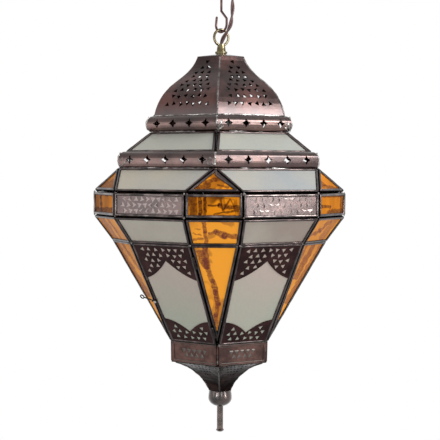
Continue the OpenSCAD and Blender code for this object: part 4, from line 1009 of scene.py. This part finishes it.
def rub_and_glint_marks(tree, shader, aged, bright):
    """Lightens the sloping faces of raised marks on an upright sheet: rubbed wear with a painted glint."""
    faces = add(tree, "NewGeometry")
    slope = add(tree, "SeparateXYZ")
    either = add(tree, "Math", operation="ABSOLUTE")
    sloping = add(tree, "MapRange", interpolation_type="SMOOTHSTEP", From_Min=0.1, From_Max=0.2)
    rubbed_and_glint = add(tree, "Mix", data_type="RGBA", B=(*bright, 1))
    join(tree, (faces, "True Normal", slope, 0), (slope, "Z", either, 0), (either, 0, sloping, "Value"),
         (sloping, 0, rubbed_and_glint, "Factor"), (aged, "Color", rubbed_and_glint, "A"),
         (rubbed_and_glint, "Result", shader, "Base Color"))


plate_finish, tree, shader, aged = metal_finish(
    "chased copper sheet", metallic=0.9, coat=1.0, dent=0.9 * mm,
    Dark=(0.046, 0.027, 0.025, 1), Warm=(0.1, 0.06, 0.055, 1),
    Patch_Scale=38.0, Grain_Scale=330.0, Rough=0.25)
rub_and_glint_marks(tree, shader, aged, (0.4, 0.32, 0.3))
dress(plate_finish, "waist_plates")

collar_finish, tree, shader, aged = metal_finish(
    "collar copper sheet", metallic=0.9, coat=0.1, dent=0.9 * mm,
    Dark=(0.045, 0.024, 0.021, 1), Warm=(0.125, 0.066, 0.055, 1),
    Patch_Scale=45.0, Grain_Scale=330.0, Rough=0.46)
rub_and_glint_marks(tree, shader, aged, (0.12, 0.11, 0.1))
dress(collar_finish, "collar_plates", "collar_frames")
ease_edges(0.6 * mm, "collar_frames")

corner_seams("collar_seams", ["collar_frames"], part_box("collar_frames"), 0.02, 0.97, collar_finish,
             steps=8, sunk=1.6 * mm, thick=2.0 * mm, uneven=0.25)


# ---- Ogee sheets ----
# Dark pierced sheet over the head and the foot of each tall pane, cut to an ogee and slipped under
# the came.

ogee_finish, *_ = metal_finish(
    "dark pierced sheet", metallic=0.95, coat=0.0, dent=0.3 * mm,
    Dark=(0.022, 0.009, 0.009, 1), Warm=(0.045, 0.019, 0.018, 1),
    Patch_Scale=40.0, Grain_Scale=380.0, Rough=0.4)
dress(ogee_finish, "upper_filigree", "lower_filigree", "door_upper_filigree", "door_lower_filigree")


# ---- Door hardware ----
# Rolled knuckles on a steel pin at the door's right edge; at its left edge a hook bent from black wire
# turns on a rivet and drops behind a stud.

dress(came_finish, "door_knuckles", "frame_knuckles")
dress(steel_finish, "hinge_pins", "latch_rivet")

latch_finish, *_ = metal_finish(
    "blackened wire", metallic=0.9, coat=0.1, dent=0.1 * mm,
    Dark=(0.008, 0.006, 0.006, 1), Warm=(0.02, 0.014, 0.013, 1),
    Patch_Scale=120.0, Grain_Scale=700.0, Rough=0.35)
dress(latch_finish, "latch_hook", "latch_catch")


# ---- Funnel and finial ----
# The funnel's six bent panels are the darkest metal of the lantern; below it a spun ball, polished by
# handling, and a rod whose end is turned to a small flared tip.

funnel_finish, *_ = metal_finish(
    "funnel patina", metallic=1.0, coat=0.0, dent=1.4 * mm,
    Dark=(0.006, 0.003, 0.003, 1), Warm=(0.03, 0.017, 0.014, 1),
    Patch_Scale=60.0, Grain_Scale=300.0, Rough=0.22)
dress(funnel_finish, "funnel_panels")
ease_edges(0.3 * mm, "funnel_panels")

corner_seams("funnel_seams", ["funnel_panels"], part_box("funnel_panels"), 0.95, 0.02, bead_finish,
             steps=18, sunk=0.6 * mm, thick=1.1 * mm, uneven=0.4)

finial_finish, *_ = metal_finish(
    "polished finial", metallic=0.95, coat=1.0, dent=0.02 * mm,
    Dark=(0.014, 0.01, 0.009, 1), Warm=(0.08, 0.053, 0.046, 1),
    Patch_Scale=75.0, Grain_Scale=400.0, Rough=0.2)
dress(finial_finish, "finial_ball")
ease_edges(0.9 * mm, "finial_ball", angle=6)

rod_finish, *_ = metal_finish(
    "brown rod", metallic=0.9, coat=0.8, dent=0.03 * mm,
    Dark=(0.06, 0.044, 0.038, 1), Warm=(0.17, 0.125, 0.105, 1),
    Patch_Scale=75.0, Grain_Scale=400.0, Rough=0.2)
dress(rod_finish, "finial_rod")


# ---- Lampholder and bulb ----
# A black moulded holder screwed on the nipple, its porcelain core, and a screw bulb with a frosted
# globe, all inside the lantern.

holder_finish, tree, shader = begin("black moulded holder")
place = add(tree, "TexCoord")
grain = add(tree, "TexNoise", Scale=600.0, Detail=2.0)
tone = add(tree, "MapRange", To_Min=0.012, To_Max=0.024)
polish = add(tree, "MapRange", To_Min=0.18, To_Max=0.32)
skin = add(tree, "Bump", Strength=0.3, Distance=0.1 * mm)
join(tree, (place, "Object", grain, "Vector"), (grain, "Fac", tone, "Value"),
     (grain, "Fac", polish, "Value"), (grain, "Fac", skin, "Height"), (tone, 0, shader, "Base Color"),
     (polish, 0, shader, "Roughness"), (skin, "Normal", shader, "Normal"))
dress(holder_finish, "lampholder_cap", "lampholder_shell")

cream_glass("white porcelain", (0.8, 0.79, 0.75), (0.76, 0.75, 0.7), "lampholder_core")
cream_glass("frosted bulb glass", (0.86, 0.85, 0.82), (0.83, 0.83, 0.8), "bulb_globe")
dress(steel_finish, "bulb_base")
